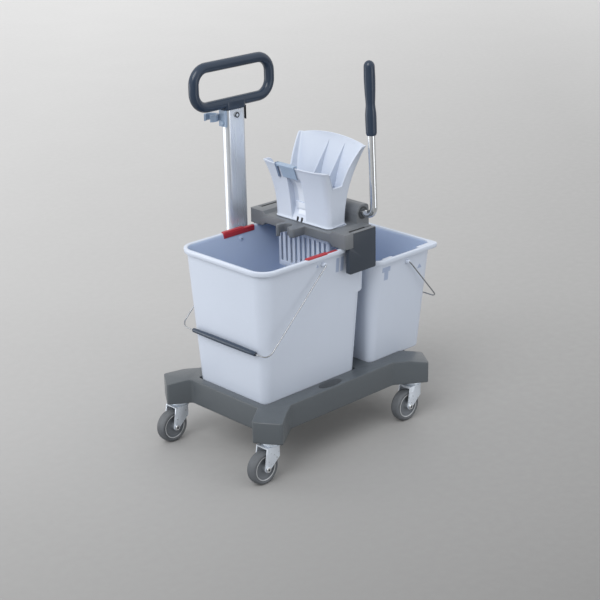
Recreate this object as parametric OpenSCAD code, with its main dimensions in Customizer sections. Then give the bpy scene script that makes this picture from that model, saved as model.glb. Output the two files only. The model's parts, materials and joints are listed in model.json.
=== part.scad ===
// Two-bucket mop trolley: wheeled chassis, push handle, two lift-out buckets and a lever press.
// Millimetres. The origin is on the floor under the middle of the chassis,
// +X towards the small bucket, +Y towards the push handle, +Z up.

/* [Casters] */
// Wheel diameter over the tyre
wheel_d = 80; // [60:1:100]
// Width of the tyre
tyre_w = 26; // [18:1:32]
// Radial thickness of the tyre
tyre_t = 10; // [6:0.5:13]
// Axle diameter
axle_d = 8; // [6:0.5:12]
// Horizontal distance from swivel axis to axle
caster_trail = 28; // [22:1:36]
// Gap between the tyre and the fork crown
crown_gap = 8; // [6:1:16]
// Thickness of the pressed fork plate
fork_t = 3; // [2:0.5:5]
// Gap between the tyre and each fork leg
leg_gap = 3; // [2:0.5:6]
// Height of the swivel bearing above the fork crown
bearing_h = 13; // [11:1:22]
// Diameter of the swivel bearing cup
bearing_d = 44; // [38:1:54]
// Diameter of the stem pressed into the chassis
stem_d = 14; // [10:1:18]
// Diameter of the pin that carries the fork
kingpin_d = 10; // [8:0.5:12]

/* [Chassis] */
// Length of the deck without its arms
deck_l = 476; // [420:1:560]
// Width of the deck without its arms
deck_w = 322; // [300:1:400]
// Height of the rails
rail_h = 60; // [45:1:80]
// Wall thickness of the rails
rail_wall = 5; // [3:0.5:8]
// Thickness of the deck under the bucket wells
deck_t = 6; // [4:0.5:10]
// Depth of the bucket wells
well_depth = 6; // [3:0.5:12]
// Angle of each corner arm from the length of the deck
arm_angle = 34; // [25:1:50]
// Width of each corner arm
arm_w = 72; // [60:1:90]
// Reach of each arm beyond the deck corner
arm_reach = 38; // [34:1:60]
// Fall of the arm's top from the deck to its tip
arm_drop = 8; // [3:0.5:15]
// Distance from the arm tip to the swivel axis
swivel_inset = 33; // [28:1:45]
// Length of each arm's slope that lies on the deck
slope_back = 12; // [4:1:24]
// Overhang of the small bucket's base behind the deck's shelf
shelf_inset = 6; // [0:1:20]
// Width of the shelf behind the deck
shelf_w = 150; // [100:1:190]

/* [Big bucket] */
// Length of the big bucket's base
bb_base_l = 301; // [260:1:330]
// Width of the big bucket's base
bb_base_w = 234; // [200:1:250]
// Height of the big bucket
bb_h = 339; // [280:1:380]
// Length over the big bucket's rim
bb_rim_l = 355; // [335:1:370]
// Width over the rims of both buckets
rim_w = 302; // [280:1:312]
// Distance from the deck's front edge to the big bucket's base
bb_inset = 23; // [14:1:40]
// Height of the collar on the big bucket's rear wall
collar_h = 127; // [80:1:160]
// Step of the collar beyond the rear wall
collar_step = 12; // [4:1:14]
// Length of the coloured rim inserts
insert_l = 100; // [60:1:130]
// Distance of the rim inserts behind the middle of the rim
insert_back = 13; // [0:1:20]
// Depth of the rim notches that hold the inserts
insert_depth = 8; // [5:0.5:10]
// Thickness of the lip's edge outside the inserts
insert_edge = 2.5; // [1.5:0.25:4]

/* [Small bucket] */
// Length of the small bucket's base
sb_base_l = 185; // [150:1:195]
// Width of the small bucket's base
sb_base_w = 236; // [200:1:250]
// Height of the small bucket
sb_h = 274; // [220:1:290]
// Length over the small bucket's rim
sb_rim_l = 235; // [225:1:260]
// Distance of the small bucket's base in front of its rim's middle
sb_base_shift = 7; // [0:1:12]
// Gap between the rims of the two buckets
rim_gap = 4; // [2:0.5:10]

/* [Bucket walls] */
// Wall thickness of the buckets
bucket_wall = 3; // [2:0.25:4]
// Floor thickness of the buckets
bucket_floor = 4; // [3:0.25:6]
// Corner radius at the bucket base
base_r = 20; // [12:1:40]
// Corner radius at the bucket rim
rim_r = 38; // [24:1:60]
// Radius of the sharp rear corners on the small bucket's lip
lip_corner_r = 12; // [4:1:30]
// Overhang of the rim lip beyond the wall
lip_w = 7; // [5:0.5:9]
// Height of the rim lip
lip_h = 12; // [8:0.5:18]
// Gap between a bucket base and its well
well_gap = 1.5; // [0.5:0.25:3]
// Corner radius of the bucket wells
well_r = 7; // [3:0.5:12]

/* [Bails] */
// Diameter of the bail wires
wire_d = 3.25; // [3:0.25:5]
// Depth of the bail pivots below the rim
bail_drop = 25; // [20:1:34]
// Reach of the big bail from its pivot to the middle of its grip
big_bail_l = 258; // [235:1:280]
// Fall of the big bail at rest below the horizontal
big_bail_angle = 43.5; // [40:0.5:46]
// Reach of the small bail from its pivot to the middle of its grip
small_bail_l = 154; // [145:1:175]
// Fall of the small bail at rest below the horizontal
small_bail_angle = 49; // [40:1:54]
// Distance of the big bail's pivots behind the middle of its rim
big_pivot_back = 19; // [10:1:30]
// Distance of the small bail's pivots behind the middle of its rim
small_pivot_back = 8; // [0:1:16]
// Bend radius of the bail corners
bail_bend = 20; // [12:1:26]
// Diameter of the bail grips
bail_grip_d = 13; // [10:0.5:14]
// Length of the bail grips
bail_grip_l = 220; // [140:1:236]

/* [Mast and push handle] */
// Position of the mast along the trolley
mast_x = -23; // [-60:1:20]
// Width of the mast profile
mast_w = 60; // [50:1:70]
// Depth of the mast profile
mast_d = 25; // [20:0.5:32]
// Wall thickness of the mast profile
mast_t = 2.5; // [1.5:0.25:4]
// Height of the mast's top above the floor
mast_top = 785; // [650:1:900]
// Wall thickness of the mast socket
socket_t = 6; // [4:0.5:9]
// Height of the mast socket
socket_h = 96; // [70:1:140]
// Width over the handle loop
loop_w = 264; // [220:1:320]
// Height over the handle loop
loop_h = 119; // [105:1:150]
// Diameter of the handle tube
loop_d = 25; // [20:0.5:30]
// Bend radius of the loop on the tube's middle line
loop_bend = 38; // [26:1:42]
// Diameter of the pole held by the tool clip
pole_d = 25; // [18:0.5:32]
// Height of the tool clip
clip_h = 16; // [10:1:24]

/* [Press] */
// Distance from the big bucket's rear rim to the holder's rear edge
holder_inset = 3; // [1:0.5:8]
// Depth of the press holder along the trolley
holder_l = 102; // [98:1:112]
// Thickness of the holder's tray
tray_t = 29; // [24:0.5:36]
// Rise of the holder's end blocks above the tray
end_rise = 7; // [3:0.5:12]
// Lift of the tray's underside between the end blocks
tray_lift = 8; // [0:0.5:14]
// Length of each end block across the bucket
end_l = 46; // [34:1:52]
// Length of the slope between the tray and each end block
end_slope = 8; // [2:0.5:14]
// Reach of the side plates below the holder
plate_drop = 63; // [40:1:90]
// Thickness of the side plates
plate_t = 12; // [8:0.5:14]
// Gap between the bucket's rim and the side plates
plate_gap = 2; // [1:0.5:6]
// Distance from the holder's front edge to the funnel's foot
funnel_inset = 17; // [12:1:22]
// Length of the funnel's foot along the trolley
funnel_l = 67; // [56:1:76]
// Width of the funnel's foot across the trolley
funnel_w = 184; // [150:1:196]
// Height of the funnel's back wall above the tray
funnel_h = 199; // [160:1:230]
// Height of the funnel's front wall above the tray
funnel_front_h = 141; // [120:1:155]
// Height of the funnel's side notches above the tray
funnel_side_h = 101; // [60:1:110]
// Forward lean of the funnel's front wall over the full height
front_lean = 38; // [10:1:50]
// Rearward lean of the funnel's back wall over the full height
back_lean = 46; // [20:1:60]
// Outward lean of each funnel side over the full height
side_lean = 21; // [8:1:26]
// Wall thickness of the funnel
funnel_t = 3.5; // [2.5:0.25:5]
// Crown of the back wall's curved top edge
crown = 13; // [4:1:24]
// Depth of the strainer under the tray
strainer_h = 96; // [70:1:120]
// Wall thickness of the strainer
strainer_t = 3; // [2:0.25:4]
// Number of slots in the strainer's front
slot_count = 10; // [6:1:14]

/* [Lever] */
// Diameter of the lever rod
rod_d = 18; // [12:0.5:20]
// Distance of the lever's pivot behind the holder
pivot_back = 19; // [17:0.5:26]
// Length of the pivot housing across the trolley
housing_w = 206; // [160:1:212]
// Distance from the middle of the trolley to the lever arm
lever_y = 140; // [132:1:150]
// Length of the lever from its pivot to the top of its grip
lever_h = 374; // [300:1:420]
// Backward lean of the lever at rest
lever_lean = 2.5; // [0:0.5:6]
// Length of the lever grip
grip_l = 176; // [120:1:200]
// Diameter of the lever grip at its widest
grip_d = 29; // [24:0.5:34]
// Bend radius of the lever rod
rod_bend = 22; // [18:1:30]
// Tooth module of the pinion and rack
tooth_m = 1.75; // [1.5:0.05:2]
// Least wall between the pinion's bore and its teeth
pinion_wall = 1.1; // [1:0.1:2.5]
// Height of the rack bar
rack_h = 8; // [6:0.5:12]

/* [Fits] */
// Radial clearance of turning fits
run_fit = 0.05; // [0.02:0.01:0.1]
// Clearance of fixed fits
fixed_fit = 0.02; // [0.01:0.01:0.05]
// Gap between sliding or loose pieces
slide_gap = 0.4; // [0.3:0.05:0.8]

/* [Hidden] */

$fn = 64;
hull_fn = 32;
eps = 0.01;
far = 1000;

plastic_grey = "#5f6264";
holder_grey = "#6f6c69";
bucket_blue = "#cdd6e4";
slate = "#3c4650";
clip_blue = "#8fa0b5";
zinc = "#c9ccce";
chrome = "#dfe3e6";
alu = "#c4c9cd";
tyre_grey = "#6d6f70";
red = "#b3202c";

// Chassis levels and corners
z0 = wheel_d + crown_gap + fork_t + bearing_h;
deck_z = z0 + rail_h;
well_z = deck_z - well_depth;
swivel_out = arm_reach - swivel_inset;
swivel_x = deck_l / 2 + swivel_out * cos(arm_angle);
swivel_y = deck_w / 2 + swivel_out * sin(arm_angle);
outer_fillet = 6;
inner_fillet = 8;

// Caster levels
wheel_r = wheel_d / 2;
crown_z0 = wheel_d + crown_gap;
crown_z1 = crown_z0 + fork_t;
race_z = crown_z1 + bearing_h / 2;
hub_r = wheel_r - tyre_t;
tyre_bore_r = hub_r + 2 * run_fit;
leg_y = tyre_w / 2 + leg_gap;
axle_nut_r = axle_d * 0.85;
axle_nut_h = axle_d * 0.55;
leg_boss_r = axle_d / 2 + 4;
kingpin_head_h = 2.5;
kingpin_head_d = kingpin_d + 8;

// Big bucket stations
bb_z0 = well_z;
bb_z1 = bb_z0 + bb_h;
bb_x0 = -deck_l / 2 + bb_inset;
bb_x1 = bb_x0 + bb_base_l;
bb_base_c = (bb_x0 + bb_x1) / 2;
bb_top_l = bb_rim_l - 2 * lip_w;
top_w = rim_w - 2 * lip_w;
bb_top_c = bb_base_c;
bb_rim_x1 = bb_top_c + bb_rim_l / 2;
collar_z = bb_z1 - collar_h;
insert_c = bb_top_c + insert_back;
insert_y = rim_w / 2 - insert_edge;
insert_t = lip_w + bucket_wall + 2 - insert_edge;

// Small bucket stations
sb_z0 = well_z;
sb_z1 = sb_z0 + sb_h;
sb_rim_x0 = bb_rim_x1 + rim_gap;
sb_rim_x1 = sb_rim_x0 + sb_rim_l;
sb_top_c = (sb_rim_x0 + sb_rim_x1) / 2;
sb_base_c = sb_top_c - sb_base_shift;
shelf_x1 = sb_base_c + sb_base_l / 2 - shelf_inset;
sb_top_l = sb_rim_l - 2 * lip_w;

// Bails
ear_r = wire_d / 2 + 4.5;
bail_y = rim_w / 2 + wire_d / 2 + 1;
big_pivot_x = bb_top_c + big_pivot_back;
big_pivot_z = bb_z1 - bail_drop;
small_pivot_x = sb_top_c + small_pivot_back;
small_pivot_z = sb_z1 - bail_drop;

// Mast and push handle
mast_y = deck_w / 2 + socket_t + mast_d / 2 + slide_gap;
mast_r = 10;
socket_z0 = z0 + 6;
socket_w = mast_w + 2 * socket_t + 2 * slide_gap;
socket_d = mast_d + 2 * socket_t + 2 * slide_gap;
socket_y0 = deck_w / 2;
mast_z0 = socket_z0 + socket_t;
bolt_d = 6;
bolt_head_h = 5;
bolt_span = socket_w - 24;
bolt_z = z0 + rail_h * 0.45;
loop_c_w = loop_w - loop_d;
loop_c_h = loop_h - loop_d;
loop_z0 = mast_top + loop_d / 2 + 4;
plug_l = 46;
screw_d = 5;
screw_z = mast_top - 14;
clip_z = mast_top - 30;
clip_t = 5;
clip_gap_angle = 80;
clip_r = pole_d / 2 + run_fit;
clip_plate_h = 40;
clip_plate_x = mast_x - mast_w / 2 - clip_t;
clip_x = clip_plate_x - clip_r;
clip_y = mast_y + (loop_d + pole_d) / 2 + slide_gap;
recess_l = 54;
recess_w = 22;
recess_depth = 10;
recess_y = -(bb_base_w / 2 + deck_w / 2) / 2;

// Press levels
holder_z0 = bb_z1 + slide_gap;
tray_z = holder_z0 + tray_t;
holder_w = rim_w + 2 * (plate_gap + plate_t);
holder_x1 = bb_rim_x1 - holder_inset;
holder_x0 = holder_x1 - holder_l;
end_z = tray_z + end_rise;
plate_x0 = holder_x0;
plate_x1 = holder_x1 - 2;
plate_y1 = holder_w / 2;
plate_y0 = plate_y1 - plate_t;
plate_z1 = end_z - 1;
plate_z0 = holder_z0 - plate_drop;
plate_head_x0 = plate_x0 + 25;
plate_slot = 4;
plate_skin = 3;
screw_bite = 18;
plate_screw_z = holder_z0 + tray_t / 2;
funnel_x0 = holder_x0 + funnel_inset;
funnel_x1 = funnel_x0 + funnel_l;
funnel_c = (funnel_x0 + funnel_x1) / 2;
funnel_z1 = tray_z + funnel_h;
foot_r = 9;
foot_w = 3;
foot_h = 4;
front_angle = atan(front_lean / funnel_h);
back_angle = atan(back_lean / funnel_h);
crown_half = funnel_w / 2 + side_lean;
crown_r = (crown_half * crown_half + crown * crown) / (2 * crown);
channel_w = 42;
channel_t = 3;
channel_out = 5;
channel_short = 40;
wing_depth = 14;
fin_t = 4;
fin_depth = 32;
fin_h = funnel_h / 2;
fin_z = 0.42 * funnel_h;
fin_mid = -16;
fin_pitch = 52;
strainer_l = funnel_l - 2 * funnel_t;
strainer_w = funnel_w - 2 * funnel_t;
strainer_z0 = holder_z0 - strainer_h;
strainer_r = 6;
flange_w = 2.5;
flange_h = 4;
strainer_inner_x1 = funnel_c + strainer_l / 2 - strainer_t;
notch_r = 13.5;
hook_y = 12;
hook_out = 40;

// Lever, pinion and rack
rod_r = rod_d / 2;
tooth_add = 0.9 * tooth_m;
tooth_ded = 1.2 * tooth_m;
tooth_n = ceil((rod_d + 2 * (pinion_wall + tooth_ded)) / tooth_m);
pitch_r = tooth_m * tooth_n / 2;
pitch_step = PI * tooth_m;
tooth_tip = 0.3 * tooth_m;
tooth_foot = 0.85 * tooth_m;
rack_z0 = tray_z + slide_gap;
rack_z1 = rack_z0 + rack_h;
rack_w = 16;
pinion_w = 14;
pivot_x = holder_x1 + pivot_back;
pivot_z = rack_z1 + tooth_ded + pitch_r;
pocket_r = pitch_r + tooth_add + 1.5;
housing_x0 = holder_x1 - 2;
housing_r = pocket_r + 5;
housing_z0 = holder_z0 + 4;
rack_x0 = strainer_inner_x1 - 1;
rack_tooth_back = 5;
rack_tooth_front = 3;
rack_x1 = pivot_x + (rack_tooth_front + 1.5) * pitch_step;
presser_t = 7;
presser_gap = 2;
grip_bottom = lever_h - grip_l;
grip_cap = 14;
shaft_collar_w = 8;
shaft_end = housing_w / 2 + slide_gap + shaft_collar_w + 2;

// Flat rounded rectangle centred on the origin
module rounded_rect(l, w, r) {
    square([l - 2 * r, w], center = true);
    square([l, w - 2 * r], center = true);
    for (x = [-1, 1], y = [-1, 1]) translate([x * (l / 2 - r), y * (w / 2 - r)]) circle(r);
}

// Straight block with rounded upright corners, standing on z = 0
module rounded_block(l, w, r, h) {
    linear_extrude(h) rounded_rect(l, w, r);
}

// Drafted block between a low and a high rounded rectangle
module drafted_block(c0, l0, w0, r0, za, c1, l1, w1, r1, zb) {
    hull() {
        translate([c0, 0, za]) rounded_block(l0, w0, r0, eps, $fn = hull_fn);
        translate([c1, 0, zb - eps]) rounded_block(l1, w1, r1, eps, $fn = hull_fn);
    }
}

// Cylinder lying along Y from ya to yb
module y_rod(x, z, r, ya, yb) {
    translate([x, ya, z]) rotate([-90, 0, 0]) cylinder(h = yb - ya, r = r);
}

// Cylinder lying along X from xa to xb
module x_rod(y, z, r, xa, xb) {
    translate([xa, y, z]) rotate([0, 90, 0]) cylinder(h = xb - xa, r = r);
}

// Outline of the chassis seen from above
module chassis_outline() {
    offset(r = outer_fillet) offset(r = -outer_fillet)
    offset(r = -inner_fillet) offset(r = inner_fillet) union() {
        square([deck_l, deck_w], center = true);
        for (sx = [-1, 1], sy = [-1, 1]) scale([sx, sy])
            translate([deck_l / 2, deck_w / 2]) rotate(arm_angle)
                translate([-arm_w, -arm_w / 2]) square([arm_w + arm_reach, arm_w]);
        translate([0, -shelf_w / 2]) square([shelf_x1, shelf_w]);
    }
}

// Places its children at each of the four swivel axes
module at_swivels() {
    for (sx = [-1, 1], sy = [-1, 1]) translate([sx * swivel_x, sy * swivel_y, 0]) children();
}

// Pocket for a bucket base in the deck
module well(c, l, w) {
    translate([c, 0, well_z]) rounded_block(l + 2 * well_gap, w + 2 * well_gap, well_r, far);
}

// Flat oval, longest along X
module oval(l, w) {
    square([l - w, w], center = true);
    for (s = [-1, 1]) translate([s * (l - w) / 2, 0]) circle(w / 2);
}

module chassis() {
    color(plastic_grey) difference() {
        translate([0, 0, z0]) linear_extrude(rail_h, $fn = hull_fn) chassis_outline();
        for (sx = [0, 1], sy = [0, 1]) mirror([sx, 0, 0]) mirror([0, sy, 0])
            translate([deck_l / 2, deck_w / 2, deck_z]) rotate([0, 0, arm_angle])
                translate([-slope_back, 0, 0]) rotate([0, atan(arm_drop / (arm_reach + slope_back)), 0])
                    translate([0, -arm_w, 0]) cube([2 * arm_w, 2 * arm_w, arm_w]);
        well(bb_base_c, bb_base_l, bb_base_w);
        well(sb_base_c, sb_base_l, sb_base_w);
        translate([0, 0, z0 - 1]) linear_extrude(rail_h - well_depth - deck_t + 1, $fn = hull_fn)
            difference() {
                offset(r = -rail_wall) chassis_outline();
                for (sx = [-1, 1], sy = [-1, 1]) translate([sx * swivel_x, sy * swivel_y])
                    circle(stem_d / 2 + rail_wall);
                translate([mast_x, recess_y]) oval(recess_l + 2 * rail_wall, recess_w + 2 * rail_wall);
            }
        at_swivels() translate([0, 0, z0 - 1])
            cylinder(h = stem_top() - z0 + 1 + slide_gap, d = stem_d + 2 * fixed_fit);
        translate([mast_x, recess_y, deck_z - recess_depth]) linear_extrude(far) oval(recess_l, recess_w);
        for (s = [-1, 1]) y_rod(mast_x + s * bolt_span / 2, bolt_z, bolt_d / 2 + fixed_fit, 0, deck_w);
    }
}

function stem_top() = z0 + rail_h * 0.6;

module socket_cover() {
    cover_t = recess_depth - 1.5;
    color(plastic_grey) translate([mast_x, recess_y, deck_z - recess_depth]) difference() {
        linear_extrude(cover_t) oval(recess_l - 2 * slide_gap, recess_w - 2 * slide_gap);
        translate([0, 0, cover_t - 2]) linear_extrude(far) oval(recess_l - 8, recess_w - 8);
    }
}

module mast_socket() {
    color(plastic_grey) difference() {
        union() {
            translate([mast_x, socket_y0 + socket_d / 2, socket_z0])
                rounded_block(socket_w, socket_d, mast_r + socket_t, socket_h);
            translate([mast_x - socket_w / 2, socket_y0, socket_z0]) cube([socket_w, socket_d / 2, socket_h]);
        }
        translate([mast_x, mast_y, mast_z0])
            rounded_block(mast_w + 2 * slide_gap, mast_d + 2 * slide_gap, mast_r + slide_gap, far);
        for (s = [-1, 1])
            y_rod(mast_x + s * bolt_span / 2, bolt_z, bolt_d / 2 + fixed_fit, 0, mast_y);
    }
}

module socket_bolts() {
    seat_y = deck_w / 2 - rail_wall;
    color(zinc) for (s = [-1, 1]) let (x = mast_x + s * bolt_span / 2) {
        y_rod(x, bolt_z, bolt_d / 2, seat_y, socket_y0 + socket_t - slide_gap);
        y_rod(x, bolt_z, bolt_d, seat_y - bolt_head_h, seat_y);
    }
}

module mast() {
    color(alu) difference() {
        translate([mast_x, mast_y, mast_z0]) rounded_block(mast_w, mast_d, mast_r, mast_top - mast_z0);
        translate([mast_x, mast_y, mast_z0 - 1])
            rounded_block(mast_w - 2 * mast_t, mast_d - 2 * mast_t, mast_r - mast_t, far);
        y_rod(mast_x, screw_z, screw_d / 2 + fixed_fit, mast_y - mast_d, mast_y);
        x_rod(mast_y, clip_z, screw_d / 2 + fixed_fit, mast_x - mast_w, mast_x);
    }
}

module push_handle() {
    arm_x = loop_c_w / 2 - loop_bend;
    arm_z = loop_c_h / 2 - loop_bend;
    color(slate) difference() {
        union() {
            translate([mast_x, mast_y, loop_z0 + loop_c_h / 2]) {
                for (s = [-1, 1]) {
                    x_rod(0, s * loop_c_h / 2, loop_d / 2, -arm_x, arm_x);
                    translate([s * loop_c_w / 2, 0, -arm_z]) cylinder(h = 2 * arm_z, d = loop_d);
                }
                for (a = [0:90:270]) rotate([0, a, 0])
                    let (cx = a % 180 == 0 ? arm_x : arm_z, cz = a % 180 == 0 ? arm_z : arm_x)
                    translate([cx, 0, cz]) rotate([90, 0, 0])
                        rotate_extrude(angle = 90) translate([loop_bend, 0]) circle(loop_d / 2);
            }
            translate([mast_x, mast_y, mast_top])
                rounded_block(mast_w + 6, mast_d + 2, mast_r, loop_z0 - mast_top);
            translate([mast_x, mast_y, mast_top - plug_l]) rounded_block(mast_w - 2 * mast_t - 2 * fixed_fit,
                mast_d - 2 * mast_t - 2 * fixed_fit, mast_r - mast_t, plug_l + 1);
        }
        y_rod(mast_x, screw_z, screw_d / 2 + fixed_fit, mast_y - mast_d, mast_y);
        x_rod(mast_y, clip_z, screw_d / 2 + fixed_fit, mast_x - mast_w, mast_x - mast_w / 2 + 12);
    }
}

module handle_screws() {
    head_h = 2.5;
    color(zinc) {
        y_rod(mast_x, screw_z, screw_d / 2, mast_y - mast_d / 2, mast_y - 2);
        y_rod(mast_x, screw_z, screw_d, mast_y - mast_d / 2 - head_h, mast_y - mast_d / 2);
        x_rod(mast_y, clip_z, screw_d / 2, mast_x - mast_w / 2 - clip_t, mast_x - mast_w / 2 + 10);
        x_rod(mast_y, clip_z, screw_d, mast_x - mast_w / 2 - clip_t - head_h, mast_x - mast_w / 2 - clip_t);
    }
}

// Plate on the mast's side with a ring open towards -X, placed so that a pole clears the handle loop
module tool_clip() {
    ring_z = clip_z + clip_plate_h / 2 - clip_h;
    gap_x = -far * cos(clip_gap_angle / 2);
    gap_y = far * sin(clip_gap_angle / 2);
    color(clip_blue) difference() {
        union() {
            translate([clip_plate_x, mast_y - mast_d / 2, clip_z - clip_plate_h / 2])
                cube([clip_t, mast_d, clip_plate_h]);
            translate([clip_plate_x, mast_y, ring_z]) cube([clip_t, clip_y - mast_y, clip_h]);
            translate([clip_x, clip_y, ring_z]) cylinder(h = clip_h, r = clip_r + clip_t);
        }
        translate([clip_x, clip_y, 0]) cylinder(h = far, r = clip_r);
        translate([clip_x, clip_y, 0]) linear_extrude(far) polygon([[0, 0], [gap_x, -gap_y], [gap_x, gap_y]]);
        x_rod(mast_y, clip_z, screw_d / 2 + fixed_fit, clip_plate_x - 1, clip_plate_x + clip_t + 1);
    }
}

// Caster pieces, drawn about the swivel axis of one corner
module at_corner(i) {
    translate([i < 2 ? -swivel_x : swivel_x, i % 2 == 0 ? swivel_y : -swivel_y, 0]) children();
}

module caster_stem() {
    color(zinc) {
        translate([0, 0, z0]) cylinder(h = stem_top() - z0, d = stem_d);
        translate([0, 0, race_z + slide_gap]) cylinder(h = z0 - race_z - slide_gap, d = bearing_d);
        translate([0, 0, crown_z0 - slide_gap])
            cylinder(h = race_z - crown_z0 + 2 * slide_gap, d = kingpin_d);
        translate([0, 0, crown_z0 - slide_gap - kingpin_head_h])
            cylinder(h = kingpin_head_h, d = kingpin_head_d);
    }
}

module caster_fork() {
    leg_top_x0 = -caster_trail;
    leg_top_x1 = bearing_d / 2 - 12;
    leg_head = 29;
    color(zinc) difference() {
        union() {
            translate([0, 0, crown_z1]) cylinder(h = race_z - crown_z1, d = bearing_d - 6);
            translate([0, 0, crown_z0]) cylinder(h = fork_t, d = bearing_d);
            translate([leg_top_x0, -leg_y - fork_t, crown_z0])
                cube([leg_top_x1 - leg_top_x0, 2 * (leg_y + fork_t), fork_t]);
            for (s = [-1, 1]) translate([0, s * (leg_y + fork_t / 2) + fork_t / 2, 0]) rotate([90, 0, 0])
                linear_extrude(fork_t) union() {
                    polygon([[leg_top_x0, crown_z1], [leg_top_x1, crown_z1],
                        [leg_top_x1, crown_z1 - leg_head],
                        [-caster_trail + leg_boss_r * 0.6, wheel_r - leg_boss_r * 0.8],
                        [-caster_trail - leg_boss_r, wheel_r]]);
                    translate([-caster_trail, wheel_r]) circle(leg_boss_r);
                }
        }
        translate([0, 0, crown_z0 - 1]) cylinder(h = bearing_h + fork_t + 2, d = kingpin_d + 2 * run_fit);
        y_rod(-caster_trail, wheel_r, axle_d / 2 + fixed_fit, -2 * leg_y, 2 * leg_y);
    }
}

module caster_axle() {
    outer = leg_y + fork_t;
    color(chrome) {
        y_rod(-caster_trail, wheel_r, axle_d / 2, -outer, outer);
        y_rod(-caster_trail, wheel_r, axle_nut_r, outer, outer + axle_nut_h);
        y_rod(-caster_trail, wheel_r, axle_nut_r, -outer - axle_nut_h, -outer);
    }
}

module caster_hub() {
    boss_y = leg_y - slide_gap;
    rim_t = 5;
    web_t = tyre_w * 0.3;
    color("#9b9ea0") translate([-caster_trail, 0, wheel_r]) rotate([90, 0, 0]) difference() {
        union() {
            difference() {
                cylinder(h = tyre_w - 3, r = hub_r, center = true);
                cylinder(h = tyre_w, r = hub_r - rim_t, center = true);
            }
            cylinder(h = web_t, r = hub_r - rim_t / 2, center = true);
            cylinder(h = 2 * boss_y, r = axle_d / 2 + 4, center = true);
        }
        cylinder(h = far, r = axle_d / 2 + run_fit, center = true);
    }
}

module caster_tyre() {
    shoulder = 0.45 * tyre_t;
    color(tyre_grey) translate([-caster_trail, 0, wheel_r]) rotate([90, 0, 0]) rotate_extrude() union() {
        translate([tyre_bore_r, -tyre_w / 2]) square([wheel_r - tyre_bore_r - shoulder, tyre_w]);
        translate([wheel_r - shoulder - eps, -tyre_w / 2 + shoulder])
            square([shoulder + eps, tyre_w - 2 * shoulder]);
        for (s = [-1, 1]) translate([wheel_r - shoulder, s * (tyre_w / 2 - shoulder)]) circle(shoulder);
    }
}

// Outline of a rim lip, with its own radius at the rear corners
module lip_outline(l, w, rear_r) {
    rounded_rect(l, w, rim_r + lip_w);
    translate([l / 4, 0]) rounded_rect(l / 2, w, rear_r);
}

// Hollow drafted tub with a lip round its rim
module tub(base_c, base_l, base_w, za, top_c, top_l, zb, rear_r) {
    difference() {
        union() {
            drafted_block(base_c, base_l, base_w, base_r, za, top_c, top_l, top_w, rim_r, zb);
            translate([top_c, 0, zb - lip_h]) linear_extrude(lip_h)
                lip_outline(top_l + 2 * lip_w, top_w + 2 * lip_w, rear_r);
        }
        drafted_block(base_c, base_l - 2 * bucket_wall, base_w - 2 * bucket_wall, base_r - bucket_wall,
            za + bucket_floor, top_c, top_l - 2 * bucket_wall, top_w - 2 * bucket_wall, rim_r - bucket_wall,
            zb + 1);
    }
}

// Half width of a tub's outer wall at height z
function wall_y(base_w, za, zb, z) = (base_w + (top_w - base_w) * (z - za) / (zb - za)) / 2;

// Bail ears on both sides of a tub
module ears(x, z, base_w, za, zb) {
    y0 = wall_y(base_w, za, zb, z) - bucket_wall * 0.9;
    for (s = [-1, 1]) y_rod(x, z, ear_r, s > 0 ? y0 : -ear_y(), s > 0 ? ear_y() : -y0);
}

function ear_y() = bail_y - wire_d / 2 - slide_gap;

// Holes for the bail ends
module ear_bores(x, z) {
    y_rod(x, z, wire_d / 2 + run_fit, -far, far);
}

module big_bucket() {
    collar_y = 2 * wall_y(bb_base_w, bb_z0, bb_z1, collar_z);
    collar_l = bb_rim_l * 0.5;
    wall_x1 = bb_x1 + (bb_top_c + bb_top_l / 2 - bb_x1) * (collar_z - bb_z0) / bb_h;
    collar_c = wall_x1 + collar_step - collar_l / 2;
    color(bucket_blue) difference() {
        union() {
            tub(bb_base_c, bb_base_l, bb_base_w, bb_z0, bb_top_c, bb_top_l, bb_z1, rim_r + lip_w);
            difference() {
                drafted_block(collar_c, collar_l, collar_y, rim_r, collar_z, collar_c, collar_l, top_w,
                    rim_r, bb_z1);
                drafted_block(bb_base_c, bb_base_l - 2 * bucket_wall, bb_base_w - 2 * bucket_wall,
                    base_r - bucket_wall, bb_z0 + bucket_floor, bb_top_c, bb_top_l - 2 * bucket_wall,
                    top_w - 2 * bucket_wall, rim_r - bucket_wall, bb_z1 + 1);
            }
            ears(big_pivot_x, big_pivot_z, bb_base_w, bb_z0, bb_z1);
        }
        ear_bores(big_pivot_x, big_pivot_z);
        translate([insert_c - insert_l / 2, -insert_y, bb_z1 - insert_depth])
            cube([insert_l, 2 * insert_y, far]);
    }
}

// Coloured insert that fills the rim notch on one side
module rim_insert(side) {
    y0 = side > 0 ? insert_y - insert_t : -insert_y;
    color(red) translate([insert_c - insert_l / 2 + slide_gap / 2, y0, bb_z1 - insert_depth])
        cube([insert_l - slide_gap, insert_t, insert_depth]);
}

module rim_insert_near() { rim_insert(-1); }

module rim_insert_far() { rim_insert(1); }

// Bail wire in its own plane: pivot along Y at the origin, reach along +X
module bail_wire(reach) {
    span = bail_y - bail_bend;
    pin_y = rim_w / 2 - lip_w - bucket_wall - 6;
    for (s = [0, 1]) mirror([0, s, 0]) {
        y_rod(0, 0, wire_d / 2, pin_y, bail_y);
        translate([0, bail_y, 0]) sphere(d = wire_d);
        x_rod(bail_y, 0, wire_d / 2, 0, reach - bail_bend);
        translate([reach - bail_bend, span, 0])
            rotate_extrude(angle = 90) translate([bail_bend, 0]) circle(d = wire_d);
    }
    y_rod(reach, 0, wire_d / 2, -span, span);
}

// Grip sleeve round the middle of a bail
module bail_grip(reach) {
    difference() {
        y_rod(reach, 0, bail_grip_d / 2, -bail_grip_l / 2, bail_grip_l / 2);
        y_rod(reach, 0, wire_d / 2 + fixed_fit, -far, far);
    }
}

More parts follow.
